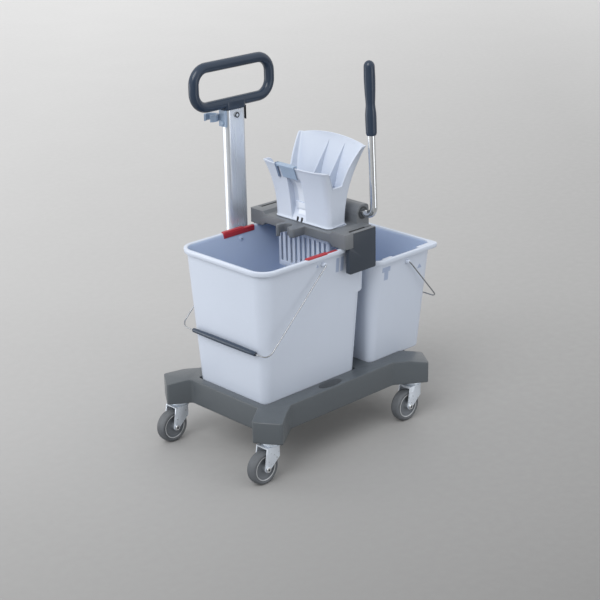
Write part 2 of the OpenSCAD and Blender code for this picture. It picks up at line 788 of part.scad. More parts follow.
module at_big_bail() {
    translate([big_pivot_x, 0, big_pivot_z]) rotate([0, 180 - big_bail_angle, 0]) children();
}

module at_small_bail() {
    translate([small_pivot_x, 0, small_pivot_z]) rotate([0, small_bail_angle, 0]) children();
}

module big_bail() { color(chrome) at_big_bail() bail_wire(big_bail_l); }

module big_bail_grip() { color(slate) at_big_bail() bail_grip(big_bail_l); }

module small_bucket() {
    color(bucket_blue) difference() {
        union() {
            tub(sb_base_c, sb_base_l, sb_base_w, sb_z0, sb_top_c, sb_top_l, sb_z1, lip_corner_r);
            ears(small_pivot_x, small_pivot_z, sb_base_w, sb_z0, sb_z1);
        }
        ear_bores(small_pivot_x, small_pivot_z);
    }
}

module small_bail() { color(chrome) at_small_bail() bail_wire(small_bail_l); }

module small_bail_grip() { color(slate) at_small_bail() bail_grip(small_bail_l); }

// Notched rest for a pole on the holder's front edge
module pole_rest() {
    rest_h = tray_t * 0.7;
    finger_r = 5;
    finger_h = tray_t - 1;
    translate([holder_x0 - hook_out + 8, hook_y + notch_r + finger_r, tray_z - finger_h])
        cylinder(h = finger_h, r = finger_r);
    translate([holder_x0, hook_y, tray_z - rest_h]) linear_extrude(rest_h) difference() {
        union() {
            translate([-hook_out + 8, -notch_r - 26]) square([hook_out, 2 * notch_r + 36]);
            translate([-hook_out + 8, -notch_r - 18]) circle(8);
            translate([-hook_out + 8, notch_r + finger_r]) circle(finger_r);
        }
        translate([-hook_out + notch_r + 6, 0]) circle(notch_r);
        translate([-hook_out - notch_r, -notch_r]) square([2 * notch_r + 6, 2 * notch_r]);
    }
}

// Room for one side plate and its slot in a holder end block
module plate_pocket(side) {
    mirror([0, side > 0 ? 0 : 1, 0]) {
        translate([plate_head_x0 - slide_gap, plate_y0 - plate_slot, holder_z0 - 1]) cube([far, far, far]);
        translate([plate_x0 - 1, plate_y0 - slide_gap, 0]) cube([far, far, holder_z0 + slide_gap]);
    }
}

// Holder seen along X: a tray between two taller end blocks
module holder_profile() {
    end_y = holder_w / 2 - end_l;
    tray_y = end_y - end_slope;
    polygon([[-holder_w / 2, holder_z0], [-end_y, holder_z0], [-tray_y, holder_z0 + tray_lift],
        [tray_y, holder_z0 + tray_lift], [end_y, holder_z0], [holder_w / 2, holder_z0], [holder_w / 2, end_z],
        [end_y, end_z], [tray_y, tray_z], [-tray_y, tray_z], [-end_y, end_z], [-holder_w / 2, end_z]]);
}

module press_holder() {
    corner = 5;
    opening_l = strainer_l + 2 * slide_gap;
    opening_w = strainer_w + 2 * slide_gap;
    step = 2 * flange_w;
    color(holder_grey) difference() {
        union() {
            intersection() {
                translate([holder_x0, 0, 0]) rotate([90, 0, 90]) linear_extrude(holder_l) holder_profile();
                translate([(holder_x0 + holder_x1) / 2, 0, 0]) rounded_block(holder_l, holder_w, corner, far);
            }
            pole_rest();
            rotate([90, 0, 0]) linear_extrude(housing_w, center = true) {
                translate([housing_x0, housing_z0])
                    square([pivot_x + housing_r - housing_x0, pivot_z - housing_z0]);
                translate([pivot_x, pivot_z]) circle(housing_r);
            }
        }
        translate([funnel_c, 0, 0]) rounded_block(opening_l, opening_w, strainer_r + slide_gap, far);
        translate([funnel_c, 0, tray_z - flange_h])
            rounded_block(opening_l + step, opening_w + step, strainer_r + slide_gap + flange_w, far);
        for (s = [-1, 1]) plate_pocket(s);
        for (s = [0, 1], t = [0.25, 0.75]) mirror([0, s, 0])
            y_rod(plate_head_x0 + t * (plate_x1 - plate_head_x0), plate_screw_z, screw_d / 2 + fixed_fit,
                plate_y0 - plate_slot - screw_bite - 2, plate_y1);
        y_rod(pivot_x, pivot_z, rod_r + run_fit, -far, far);
        y_rod(pivot_x, pivot_z, pocket_r, -pinion_w / 2 - 1, pinion_w / 2 + 1);
        translate([funnel_c, -rack_w / 2 - slide_gap, rack_z0 - slide_gap])
            cube([far, rack_w + 2 * slide_gap, rack_h + tooth_add + tooth_ded + 2 * slide_gap]);
    }
}

// Moulded plate that hangs outside the rim, with its head in the holder's end block
module side_plate(side) {
    corner = 4;
    color(slate) mirror([0, side > 0 ? 0 : 1, 0]) difference() {
        translate([0, plate_y1, 0]) rotate([90, 0, 0]) linear_extrude(plate_t) union() {
            translate([(plate_x0 + plate_x1) / 2, (plate_z0 + holder_z0) / 2])
                rounded_rect(plate_x1 - plate_x0, holder_z0 - plate_z0, corner);
            translate([plate_head_x0, holder_z0 - 2 * corner])
                square([plate_x1 - plate_head_x0, plate_z1 - holder_z0 + 2 * corner]);
        }
        for (t = [0.25, 0.75])
            y_rod(plate_head_x0 + t * (plate_x1 - plate_head_x0), plate_screw_z, screw_d / 2 + fixed_fit,
                0, plate_y1 - plate_skin);
    }
}

module side_plate_near() { side_plate(-1); }

module side_plate_far() { side_plate(1); }

module holder_screws() {
    color(zinc) for (s = [0, 1], t = [0.25, 0.75]) mirror([0, s, 0])
        y_rod(plate_head_x0 + t * (plate_x1 - plate_head_x0), plate_screw_z, screw_d / 2,
            plate_y0 - plate_slot - screw_bite, plate_y1 - plate_skin - slide_gap);
}

// Drafted body of the funnel, drawn in by a wall thickness t and longer by e at both ends
module funnel_body(t, e) {
    drafted_block(funnel_c, funnel_l - 2 * t, funnel_w - 2 * t, foot_r - t / 2, tray_z - e,
        funnel_c + (back_lean - front_lean) / 2, funnel_l + front_lean + back_lean - 2 * t,
        funnel_w + 2 * side_lean - 2 * t, foot_r - t / 2, funnel_z1 + e);
}

// Places its children on the funnel's front wall: origin at the foot, z up the wall, x inwards
module on_front_wall() {
    translate([funnel_x0, 0, tray_z]) rotate([0, -front_angle, 0]) children();
}

// Places its children on the funnel's back wall: origin at the foot, z up the wall, x outwards
module on_back_wall() {
    translate([funnel_x1, 0, tray_z]) rotate([0, back_angle, 0]) children();
}

module press_funnel() {
    notch_x0 = funnel_x0 - 2;
    notch_x1 = funnel_x1 - 18;
    wing_x = funnel_x1 + back_lean * (funnel_h - crown) / funnel_h - funnel_t - wing_depth;
    color(bucket_blue) difference() {
        union() {
            intersection() {
                difference() {
                    funnel_body(0, 0);
                    funnel_body(funnel_t, 1);
                }
                x_rod(0, funnel_z1 - crown_r, crown_r, -far, far);
            }
            difference() {
                translate([funnel_c, 0, tray_z])
                    rounded_block(funnel_l + 2 * foot_w, funnel_w + 2 * foot_w, foot_r + foot_w, foot_h);
                funnel_body(funnel_t / 2, 1);
            }
            for (s = [-1, 1]) on_front_wall()
                translate([-channel_out, hook_y + (s * channel_w - channel_t) / 2, foot_h])
                    cube([channel_out + funnel_t / 2, channel_t, funnel_front_h - channel_short]);
            for (s = [-1, 1]) on_back_wall() translate([-funnel_t / 2, fin_mid + s * fin_pitch / 2, fin_z])
                rotate([0, -90, -90]) linear_extrude(fin_t, center = true)
                    polygon([[0, 0], [fin_h, 0], [0, -fin_depth]]);
        }
        rotate([90, 0, 0]) linear_extrude(far, center = true)
            polygon([[-far, tray_z + funnel_front_h], [notch_x0, tray_z + funnel_front_h],
                [notch_x0 + 14, tray_z + funnel_side_h], [notch_x1, tray_z + funnel_side_h],
                [wing_x, funnel_z1 - crown], [wing_x + back_lean, funnel_z1 - crown + funnel_h],
                [-far, far]]);
        translate([funnel_c, -rack_w / 2 - slide_gap, tray_z - 1])
            cube([far, rack_w + 2 * slide_gap, rack_h + tooth_add + tooth_ded + 2 * slide_gap + 1]);
    }
}

module funnel_clip() {
    clip_l = 60;
    hook_h = 22;
    wall = 3;
    gap_t = funnel_t + 2 * slide_gap;
    gap_y = 14;
    gap_l = 26;
    reach = funnel_front_h / cos(front_angle);
    color(clip_blue) on_front_wall() difference() {
        translate([-wall - slide_gap, -6, reach - hook_h]) cube([2 * wall + gap_t, clip_l, hook_h + wall]);
        translate([-slide_gap, -far / 2, reach + slide_gap - far]) cube([gap_t, far, far]);
        translate([-far / 2, gap_y, reach - 2 * hook_h]) cube([far, gap_l, 1.5 * hook_h]);
    }
}

module strainer() {
    slot_pitch = (strainer_w - 2 * strainer_r) / slot_count;
    slot_w = slot_pitch * 0.45;
    color(bucket_blue) difference() {
        union() {
            translate([funnel_c, 0, strainer_z0])
                rounded_block(strainer_l, strainer_w, strainer_r, tray_z - strainer_z0);
            translate([funnel_c, 0, tray_z - flange_h]) rounded_block(strainer_l + 2 * flange_w,
                strainer_w + 2 * flange_w, strainer_r + flange_w, flange_h);
        }
        translate([funnel_c, 0, strainer_z0 + strainer_t]) rounded_block(strainer_l - 2 * strainer_t,
            strainer_w - 2 * strainer_t, strainer_r - strainer_t, far);
        for (i = [0:slot_count - 1]) {
            y = (i - (slot_count - 1) / 2) * slot_pitch;
            translate([funnel_c - strainer_l, y - slot_w / 2, strainer_z0 + 12])
                cube([strainer_l, slot_w, holder_z0 - strainer_z0 - 20]);
            for (k = [-1:1]) translate([funnel_c + k * strainer_l * 0.27, y, strainer_z0 - 1])
                cylinder(h = strainer_t + 2, d = slot_w, $fn = 16);
        }
    }
}

module press_plate() {
    z_low = strainer_z0 + strainer_t + presser_gap;
    plate_w = strainer_w - 2 * strainer_t - 2 * presser_gap - 2 * strainer_r;
    color(plastic_grey) translate([rack_x0 - presser_t, -plate_w / 2, z_low])
        cube([presser_t, plate_w, rack_z1 - z_low]);
}

module press_rack() {
    tooth_z = rack_z1 + tooth_ded + tooth_add;
    tooth_x = [for (i = [-rack_tooth_back:rack_tooth_front]) pivot_x + (i + 0.5) * pitch_step];
    color(zinc) translate([0, rack_w / 2, 0]) rotate([90, 0, 0]) linear_extrude(rack_w) union() {
        translate([rack_x0, rack_z0]) square([rack_x1 - rack_x0, rack_h]);
        for (x = tooth_x) polygon([[x - tooth_foot, rack_z1 - eps], [x + tooth_foot, rack_z1 - eps],
            [x + tooth_tip, tooth_z], [x - tooth_tip, tooth_z]]);
    }
}

// Places its children at the lever's pivot, leaned as the lever rests
module at_lever() {
    translate([pivot_x, 0, pivot_z]) rotate([0, -lever_lean, 0]) children();
}

module lever_rod() {
    bend_y = -lever_y + rod_bend;
    color(chrome) at_lever() {
        y_rod(0, 0, rod_r, bend_y, shaft_end);
        translate([0, bend_y, rod_bend]) rotate([0, 90, 0]) rotate([0, 0, -90])
            rotate_extrude(angle = 90) translate([rod_bend, 0]) circle(rod_r);
        translate([0, -lever_y, rod_bend]) cylinder(h = lever_h - grip_cap - rod_bend, r = rod_r);
    }
}

// Pinion outline with a tooth pointing straight down
function tooth_points() = [[pitch_r - tooth_ded, -tooth_foot], [pitch_r + tooth_add, -tooth_tip],
    [pitch_r + tooth_add, tooth_tip], [pitch_r - tooth_ded, tooth_foot]];

function pinion_points() = [for (i = [0:tooth_n - 1])
    let (a = -90 + i * 360 / tooth_n, c = cos(a), s = sin(a))
    for (q = tooth_points()) [q[0] * c - q[1] * s, q[0] * s + q[1] * c]];

module pinion() {
    color(zinc) translate([pivot_x, pinion_w / 2, pivot_z]) rotate([90, 0, 0]) linear_extrude(pinion_w)
        difference() {
            polygon(pinion_points());
            circle(rod_r + fixed_fit);
        }
}

module shaft_collar() {
    y0 = housing_w / 2 + slide_gap;
    color(zinc) difference() {
        y_rod(pivot_x, pivot_z, rod_r + 5, y0, y0 + shaft_collar_w);
        y_rod(pivot_x, pivot_z, rod_r + fixed_fit, y0 - 1, y0 + shaft_collar_w + 1);
    }
}

// Radius of the lever grip at share t of its length
function grip_radius(t) = grip_d / 2 * (0.86 + 0.14 * cos(360 * (t - 0.82)));

module lever_grip() {
    steps = 14;
    dome = grip_radius(1);
    body_l = grip_l - dome;
    profile = [for (i = [0:steps]) [grip_radius(i / steps), i / steps * body_l]];
    color(slate) at_lever() translate([0, -lever_y, grip_bottom]) difference() {
        union() {
            rotate_extrude() polygon(concat([[0, 0]], profile, [[0, body_l]]));
            translate([0, 0, body_l]) sphere(dome);
        }
        translate([0, 0, -1]) cylinder(h = grip_l - grip_cap + 1 + slide_gap, r = rod_r + fixed_fit);
    }
}

corners = ["fl", "fr", "rl", "rr"];

chassis();
socket_cover();
mast_socket();
socket_bolts();
mast();
push_handle();
handle_screws();
tool_clip();
for (i = [0:3]) {
    at_corner(i) caster_stem();
    at_corner(i) caster_fork();
    at_corner(i) caster_axle();
    at_corner(i) caster_hub();
    at_corner(i) caster_tyre();
}
big_bucket();
rim_insert_near();
rim_insert_far();
big_bail();
big_bail_grip();
small_bucket();
small_bail();
small_bail_grip();
press_holder();
side_plate_near();
side_plate_far();
holder_screws();
press_funnel();
funnel_clip();
strainer();
press_plate();
press_rack();
lever_rod();
pinion();
shaft_collar();
lever_grip();
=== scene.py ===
import json
import math

import bmesh
import bpy
from mathutils import Matrix, Vector

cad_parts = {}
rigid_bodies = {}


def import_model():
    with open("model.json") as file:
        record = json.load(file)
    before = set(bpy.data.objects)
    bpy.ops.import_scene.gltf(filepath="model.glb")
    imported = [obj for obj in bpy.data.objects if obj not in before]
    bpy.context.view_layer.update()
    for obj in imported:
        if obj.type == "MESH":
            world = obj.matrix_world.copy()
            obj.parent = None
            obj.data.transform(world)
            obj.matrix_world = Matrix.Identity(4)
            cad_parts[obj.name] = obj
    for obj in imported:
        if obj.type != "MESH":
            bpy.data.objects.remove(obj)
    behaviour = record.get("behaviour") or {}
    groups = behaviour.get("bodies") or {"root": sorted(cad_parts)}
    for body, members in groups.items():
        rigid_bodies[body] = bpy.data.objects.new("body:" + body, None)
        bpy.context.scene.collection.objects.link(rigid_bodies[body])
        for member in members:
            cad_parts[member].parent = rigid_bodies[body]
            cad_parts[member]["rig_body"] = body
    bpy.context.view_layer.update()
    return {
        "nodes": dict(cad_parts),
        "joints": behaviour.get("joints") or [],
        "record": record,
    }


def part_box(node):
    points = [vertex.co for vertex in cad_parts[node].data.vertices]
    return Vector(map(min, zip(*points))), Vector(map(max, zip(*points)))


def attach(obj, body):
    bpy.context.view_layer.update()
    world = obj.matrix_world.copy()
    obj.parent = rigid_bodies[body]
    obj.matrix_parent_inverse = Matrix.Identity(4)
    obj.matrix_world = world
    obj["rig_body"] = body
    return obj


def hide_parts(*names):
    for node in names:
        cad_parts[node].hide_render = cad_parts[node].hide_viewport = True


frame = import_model()
NODES = frame["nodes"]
SLOT = {row["node"]: row["material_slot"] for row in frame["record"]["subparts"]}
CORNERS = ("fl", "fr", "rl", "rr")

# Shapes below are in millimetres and angles in degrees; piece() turns shapes into metres. WELD is in metres.

TO_MM = 1000
TO_M = 0.001
WELD = 2e-6
FLAT_ANGLE = 0.4
BEVEL_ANGLE = 30
SHARP = 38
ROUND = 28
TUBE_ROUND = 24
SLAB_TURNS = 6
MIN_R = 0.01


def lerp(a, b, t):
    return a + (b - a) * t


def shares(count):
    """Even shares from 0 to 1 in count steps."""
    return [i / count for i in range(count + 1)]


def steps(pairs, t):
    """Value at t of straight lines through (t, value) pairs."""
    for (t0, v0), (t1, v1) in zip(pairs, pairs[1:]):
        if t <= t1:
            return lerp(v0, v1, min(max((t - t0) / (t1 - t0), 0), 1))
    return pairs[-1][1]


def eased(pairs, t, width):
    """Like steps(), with its corners softened over a width."""
    return sum(steps(pairs, t + width * k / 2) for k in range(-2, 3)) / 5


def box_mm(node):
    """Box of a CAD node in millimetres."""
    lo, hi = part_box(node)
    return lo * TO_MM, hi * TO_MM


def axis_of(joint):
    """Place of a hinge in millimetres as (x, z)."""
    for row in frame["joints"]:
        if row["name"] == joint:
            return row["pos_m"][0] * TO_MM, row["pos_m"][2] * TO_MM
    raise KeyError(joint)


def arc(cx, cy, r, a0, a1, count):
    """Points of an arc from angle a0 to a1 in degrees."""
    angles = [math.radians(lerp(a0, a1, t)) for t in shares(count)]
    return [(cx + r * math.cos(a), cy + r * math.sin(a)) for a in angles]


def outline(x0, x1, y0, y1, radii, xs=(), count=8):
    """Rounded rectangle, corner by corner from (x0, y0), with extra stations on its long sides."""
    r = [max(value, MIN_R) for value in radii]
    return (arc(x0 + r[0], y0 + r[0], r[0], 180, 270, count) + [(x, y0) for x in xs]
            + arc(x1 - r[1], y0 + r[1], r[1], 270, 360, count)
            + arc(x1 - r[2], y1 - r[2], r[2], 0, 90, count) + [(x, y1) for x in reversed(xs)]
            + arc(x0 + r[3], y1 - r[3], r[3], 90, 180, count))


def loft(rings, loop=False, second_from=None):
    """Skin over closed rings of the same length; rows from second_from on take the piece's second finish."""
    bm = bmesh.new()
    rows = [[bm.verts.new(p) for p in ring] for ring in rings]
    pairs = list(zip(rows, rows[1:] + rows[:1] if loop else rows[1:]))
    for row, (low, high) in enumerate(pairs):
        for i in range(len(low)):
            j = (i + 1) % len(low)
            face = bm.faces.new((low[i], low[j], high[j], high[i]))
            face.material_index = int(second_from is not None and row >= second_from)
    if not loop:
        bm.faces.new(list(reversed(rows[0])))
        end = bm.faces.new(rows[-1])
        end.material_index = int(second_from is not None)
    return bm


def mesh_of(bm, name):
    """Mesh data out of a bmesh, which is used up."""
    mesh = bpy.data.meshes.new(name)
    bm.to_mesh(mesh)
    bm.free()
    return mesh


def placed(name, data):
    """New object in the scene."""
    obj = bpy.data.objects.new(name, data)
    bpy.context.scene.collection.objects.link(obj)
    return obj


def joined(parts):
    """One mesh out of several."""
    whole = parts[0]
    for part in parts[1:]:
        mesh = mesh_of(part, "joining")
        whole.from_mesh(mesh)
        bpy.data.meshes.remove(mesh)
    return whole


def moved(bm, matrix):
    bmesh.ops.transform(bm, matrix=matrix, verts=bm.verts)
    return bm


def turned(place, degrees, axis):
    """A turn about an axis and then a move to a place."""
    return Matrix.Translation(place) @ Matrix.Rotation(math.radians(degrees), 4, axis)


def slab(x0, x1, y0, y1, z0, z1, r, edge):
    """Upright rounded block with its top and bottom edges rounded as well."""
    def ring(z, inset):
        flat = outline(x0 + inset, x1 - inset, y0 + inset, y1 - inset, [r - inset] * 4, count=SLAB_TURNS)
        return [(x, y, z) for x, y in flat]

    turns = [math.radians(a) for a in (0, 30, 60, 90)]
    low = [ring(z0 + edge * (1 - math.sin(a)), edge * (1 - math.cos(a))) for a in reversed(turns)]
    high = [ring(z1 - edge * (1 - math.sin(a)), edge * (1 - math.cos(a))) for a in turns]
    return loft(low + high)


def circle(r, z, count):
    return [(r * math.cos(a), r * math.sin(a), z) for a in (math.tau * i / count for i in range(count))]


def lathe(profile, count=40, loop=False, second_from=None):
    """Profile of (radius, height) pairs turned about Z."""
    return loft([circle(r, z, count) for r, z in profile], loop, second_from)


def tube(path, r):
    """Closed round rod along a loop of points."""
    path = [Vector(p) for p in path]
    rings = []
    side = None
    for i, p in enumerate(path):
        along = (path[(i + 1) % len(path)] - path[i - 1]).normalized()
        if side is None:
            side = along.orthogonal().normalized()
        side = (side - along * side.dot(along)).normalized()
        up = along.cross(side)
        rings.append([p + (side * x + up * y) for x, y, _ in circle(r, 0, TUBE_ROUND)])
    return loft(rings, loop=True)


# Colours are sRGB values from 0 to 255; lengths in materials are in metres.

RANGE_SOCKETS = ("From Min", "From Max", "To Min", "To Max")
EDGE_SAMPLES = 8


def srgb(*rgb):
    """Linear colour for a socket."""
    linear = [v / 255 / 12.92 if v <= 10 else ((v / 255 + 0.055) / 1.055) ** 2.4 for v in rgb]
    return (*linear, 1.0)


def toned(colour, factor):
    """The colour made lighter or darker."""
    return (*[min(v * factor, 1) for v in colour[:3]], 1.0)


class Shader:
    """A node material in the making, laid over the place of each point on its piece."""

    def __init__(self, name):
        self.material = bpy.data.materials.new(name)
        self.material.use_nodes = True
        self.tree = self.material.node_tree
        self.bsdf = self.tree.nodes["Principled BSDF"]
        self.place = self.node("TexCoord").outputs["Object"]

    def node(self, kind):
        return self.tree.nodes.new("ShaderNode" + kind)

    def feed(self, socket, value):
        if isinstance(value, bpy.types.NodeSocket):
            self.tree.links.new(value, socket)
        else:
            socket.default_value = value

    def stretched(self, stretch):
        node = self.node("Mapping")
        self.feed(node.inputs["Vector"], self.place)
        node.inputs["Scale"].default_value = stretch
        return node.outputs["Vector"]

    def noise(self, scale, detail, stretch=None):
        node = self.node("TexNoise")
        node.inputs["Scale"].default_value = scale
        node.inputs["Detail"].default_value = detail
        self.feed(node.inputs["Vector"], self.stretched(stretch) if stretch else self.place)
        return node.outputs["Fac"]

    def cells(self, scale):
        node = self.node("TexVoronoi")
        node.inputs["Scale"].default_value = scale
        self.feed(node.inputs["Vector"], self.place)
        return node.outputs["Color"]

    def spread(self, value, low, high, to_low, to_high):
        """Takes a value between low and high to one between to_low and to_high."""
        node = self.node("MapRange")
        self.feed(node.inputs["Value"], value)
        for socket, number in zip(RANGE_SOCKETS, (low, high, to_low, to_high)):
            node.inputs[socket].default_value = number
        return node.outputs["Result"]

    def times(self, a, b):
        node = self.node("Math")
        node.operation = "MULTIPLY"
        self.feed(node.inputs[0], a)
        self.feed(node.inputs[1], b)
        return node.outputs["Value"]

    def along(self, direction):
        """How far a point lies along a direction."""
        node = self.node("VectorMath")
        node.operation = "DOT_PRODUCT"
        self.feed(node.inputs[0], self.place)
        node.inputs[1].default_value = direction
        return node.outputs["Value"]

    def part(self, vector, axis):
        node = self.node("SeparateXYZ")
        self.feed(node.inputs["Vector"], vector)
        return node.outputs[axis]

    def mix(self, factor, a, b):
        """Blend of two colours; the node's colour sockets are inputs 6 and 7 and output 2."""
        node = self.node("Mix")
        node.data_type = "RGBA"
        self.feed(node.inputs["Factor"], factor)
        self.feed(node.inputs[6], a)
        self.feed(node.inputs[7], b)
        return node.outputs[2]

    def soft_edges(self, radius):
        """Normals that round off sharp edges over a radius."""
        node = self.node("Bevel")
        node.samples = EDGE_SAMPLES
        node.inputs["Radius"].default_value = radius
        return node.outputs["Normal"]

    def bump(self, height, distance, strength, under=None):
        node = self.node("Bump")
        node.inputs["Distance"].default_value = distance
        node.inputs["Strength"].default_value = strength
        self.feed(node.inputs["Height"], height)
        if under:
            self.feed(node.inputs["Normal"], under)
        return node.outputs["Normal"]

    def done(self, colour, rough, normal, metallic=0.0):
        self.feed(self.bsdf.inputs["Base Color"], colour)
        self.feed(self.bsdf.inputs["Roughness"], rough)
        self.feed(self.bsdf.inputs["Normal"], normal)
        self.bsdf.inputs["Metallic"].default_value = metallic
        return self.material


def plastic(name, colour, rough, tone=0.03, grain=0.4, wave=0.0, runs=0.0, edge=0.0):
    """Moulded plastic: uneven tone, speckle, scuffs, dried water runs, grain, broad waves and soft edges."""
    s = Shader(name)
    cloudy = s.noise(6, 5)
    fine = s.noise(90, 6)
    body = s.mix(s.spread(cloudy, 0.3, 0.7, 0, 1), toned(colour, 1 - tone), toned(colour, 1 + tone))
    body = s.mix(s.spread(fine, 0.35, 0.65, 0, 0.3), body, toned(colour, 1 - 2 * tone))
    scratches = s.spread(s.noise(70, 2, (0.1, 1, 1.8)), 0.68, 0.72, 0, 1)
    worn = s.spread(s.noise(9, 2), 0.52, 0.62, 0, 0.2)
    body = s.mix(s.times(scratches, worn), body, toned(colour, 1.2))
    if runs:
        water = s.spread(s.noise(26, 4, (1, 1, 0.05)), 0.52, 0.8, 0, runs)
        body = s.mix(water, body, toned(colour, 0.8))
    gloss = s.spread(fine, 0.3, 0.7, rough - 0.02, rough + 0.03)
    under = s.soft_edges(edge) if edge else None
    normal = s.bump(s.noise(1300, 2), distance=0.0002, strength=grain, under=under)
    if wave:
        normal = s.bump(s.noise(12, 2), distance=0.004, strength=wave, under=normal)
    return s.done(body, gloss, normal)


def metal(name, colour, rough, stretch=None, spangle=0.0, metallic=1.0, tone=0.06, stain=0.25, grain=0.15):
    """Plated, chromed or brushed metal: streaks or spangle in tone and gloss, stains and a fine bump."""
    s = Shader(name)
    fine = s.noise(240, 4, stretch) if stretch else s.noise(160, 5)
    body = s.mix(s.spread(fine, 0.3, 0.7, 0, 1), toned(colour, 1 - tone), toned(colour, 1 + tone))
    if spangle:
        flakes = s.spread(s.part(s.cells(140), "X"), 0, 1, 0, spangle)
        body = s.mix(flakes, body, toned(colour, 0.7))
    stains = s.spread(s.noise(9, 6), 0.55, 0.8, 0, stain)
    body = s.mix(stains, body, toned(colour, 0.75))
    gloss = s.spread(fine, 0.3, 0.7, rough * 0.8, rough * 1.25)
    return s.done(body, gloss, s.bump(fine, distance=0.0002, strength=grain), metallic)


def rubber(name, colour):
    """Soft grey tyre with dust in its grain."""
    s = Shader(name)
    dirt = s.noise(60, 6)
    body = s.mix(s.spread(dirt, 0.4, 0.7, 0, 1), toned(colour, 0.88), toned(colour, 1.08))
    dust = s.spread(s.noise(11, 4), 0.5, 0.75, 0, 0.2)
    body = s.mix(dust, body, srgb(140, 140, 138))
    gloss = s.spread(dirt, 0.3, 0.7, 0.55, 0.75)
    return s.done(body, gloss, s.bump(s.noise(420, 4), distance=0.0004, strength=0.35))


SURFACE = {
    "frame_plastic": plastic("frame_plastic", srgb(82, 88, 93), 0.3, tone=0.04, grain=0.5, edge=0.004),
    "holder_plastic": plastic("holder_plastic", srgb(106, 110, 115), 0.36, tone=0.04, grain=0.5, edge=0.0025),
    "bucket_plastic": plastic("bucket_plastic", srgb(200, 209, 224), 0.24, tone=0.01, grain=0.2, wave=0.04,
                              runs=0.04),
    "press_plastic": plastic("press_plastic", srgb(202, 211, 226), 0.34, tone=0.01, grain=0.2, runs=0.04),
    "inner_plastic": plastic("inner_plastic", srgb(178, 194, 220), 0.4),
    "slate_plastic": plastic("slate_plastic", srgb(40, 55, 74), 0.24, tone=0.03, grain=0.2),
    "clip_plastic": plastic("clip_plastic", srgb(150, 170, 194), 0.38),
    "red_plastic": plastic("red_plastic", srgb(168, 36, 48), 0.32, tone=0.05),
    "zinc": metal("zinc", srgb(222, 230, 240), 0.32, spangle=0.06, metallic=0.5, tone=0.02, stain=0.1,
                  grain=0.02),
    "chrome_wire": metal("chrome_wire", srgb(232, 235, 238), 0.08),
    "mast_aluminium": metal("mast_aluminium", srgb(222, 227, 233), 0.3, stretch=(1, 1, 0.012), metallic=0.8,
                            tone=0.02, stain=0.08),
    "hub_plastic": plastic("hub_plastic", srgb(104, 109, 115), 0.42, tone=0.05),
    "tyre": rubber("tyre", srgb(92, 96, 101)),
}
# Inside walls of the buckets: a darker, bluer copy of bucket_plastic that is painted shade, with its water
# runs.
INSIDE_PAINTED_SHADE = plastic("bucket_inside_painted_shade", srgb(182, 198, 224), 0.34, tone=0.01, grain=0.2, runs=0.06)
# Darker copy of the bucket plastic for the marks: painted shade of moulded recesses.
PAINTED_RECESS_SHADE = plastic("painted_recess_shade", srgb(158, 172, 198), 0.4)
# Paler copy of press_plastic on the channel's guide strip: painted light.
GUIDE_PAINTED_LIGHT = plastic("guide_painted_light", srgb(220, 227, 238), 0.34, tone=0.015)
# Near black that is painted shade: behind the funnel's slots, in the gaps at the side plates' heads, round a
# screw head and in a sliver beside the mast.
PAINTED_SHADE_DARK = plastic("dark_painted_shade", srgb(13, 15, 19), 0.7, tone=0.05)
# Dark grey: the cap's own colour on the rail's spare socket, and painted shade on the ring round the lever's
# bearing.
DARK_CAP_AND_SHADE = plastic("dark_cap_and_painted_shade", srgb(54, 58, 62), 0.42, tone=0.04)
PLATE_SLATE = plastic("plate_slate", srgb(50, 58, 69), 0.3, tone=0.03, grain=0.3)
# Darker copy of clip_plastic: painted shade on the clip's hooked leg.
CLIP_PAINTED_SHADE = plastic("clip_painted_shade", srgb(104, 122, 150), 0.4)
HUB_RING = plastic("hub_ring", srgb(196, 199, 202), 0.36)
BAIL_WIRE = metal("bail_wire", srgb(158, 161, 165), 0.24, metallic=0.9)
AXLE_STEEL = metal("axle_steel", srgb(70, 74, 78), 0.4, metallic=0.6)

for node, obj in NODES.items():
    obj.material_slots[0].material = SURFACE[SLOT[node]]
for node in ("big_bail", "small_bail"):
    NODES[node].material_slots[0].material = BAIL_WIRE


def piece(name, bm, node, finish=None, second=None, added=False, bevel=0.0, segments=3, sharp=SHARP):
    """Makes a mesh in millimetres a piece that rides with a CAD node, and stands for it unless added."""
    moved(bm, Matrix.Scale(TO_M, 4))
    bmesh.ops.remove_doubles(bm, verts=bm.verts, dist=WELD)
    bmesh.ops.recalc_face_normals(bm, faces=bm.faces)
    mesh = mesh_of(bm, name)
    mesh.shade_smooth()
    mesh.materials.append(finish or SURFACE[SLOT[node]])
    if second:
        mesh.materials.append(second)
    obj = placed(name, mesh)
    if bevel:
        rounding = obj.modifiers.new("edges", "BEVEL")
        rounding.width = bevel * TO_M
        rounding.segments = segments
        rounding.limit_method = "ANGLE"
        rounding.angle_limit = math.radians(BEVEL_ANGLE)
        rounding.harden_normals = True
    else:
        mesh.set_sharp_from_angle(angle=math.radians(sharp))
    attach(obj, NODES[node]["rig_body"])
    if not added:
        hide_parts(node)
    return obj


def copy_mm(node):
    """Copy of a CAD mesh in millimetres, with whole faces instead of triangles."""
    bm = bmesh.new()
    bm.from_mesh(NODES[node].data)
    bmesh.ops.remove_doubles(bm, verts=bm.verts, dist=WELD)
    bmesh.ops.dissolve_limit(bm, angle_limit=math.radians(FLAT_ANGLE), verts=bm.verts, edges=bm.edges)
    return moved(bm, Matrix.Scale(TO_MM, 4))


def rounded_copy(node, bevel, segments=3):
    """The CAD node with its sharp edges rounded off."""
    piece(node + "_moulded", copy_mm(node), node, bevel=bevel, segments=segments)


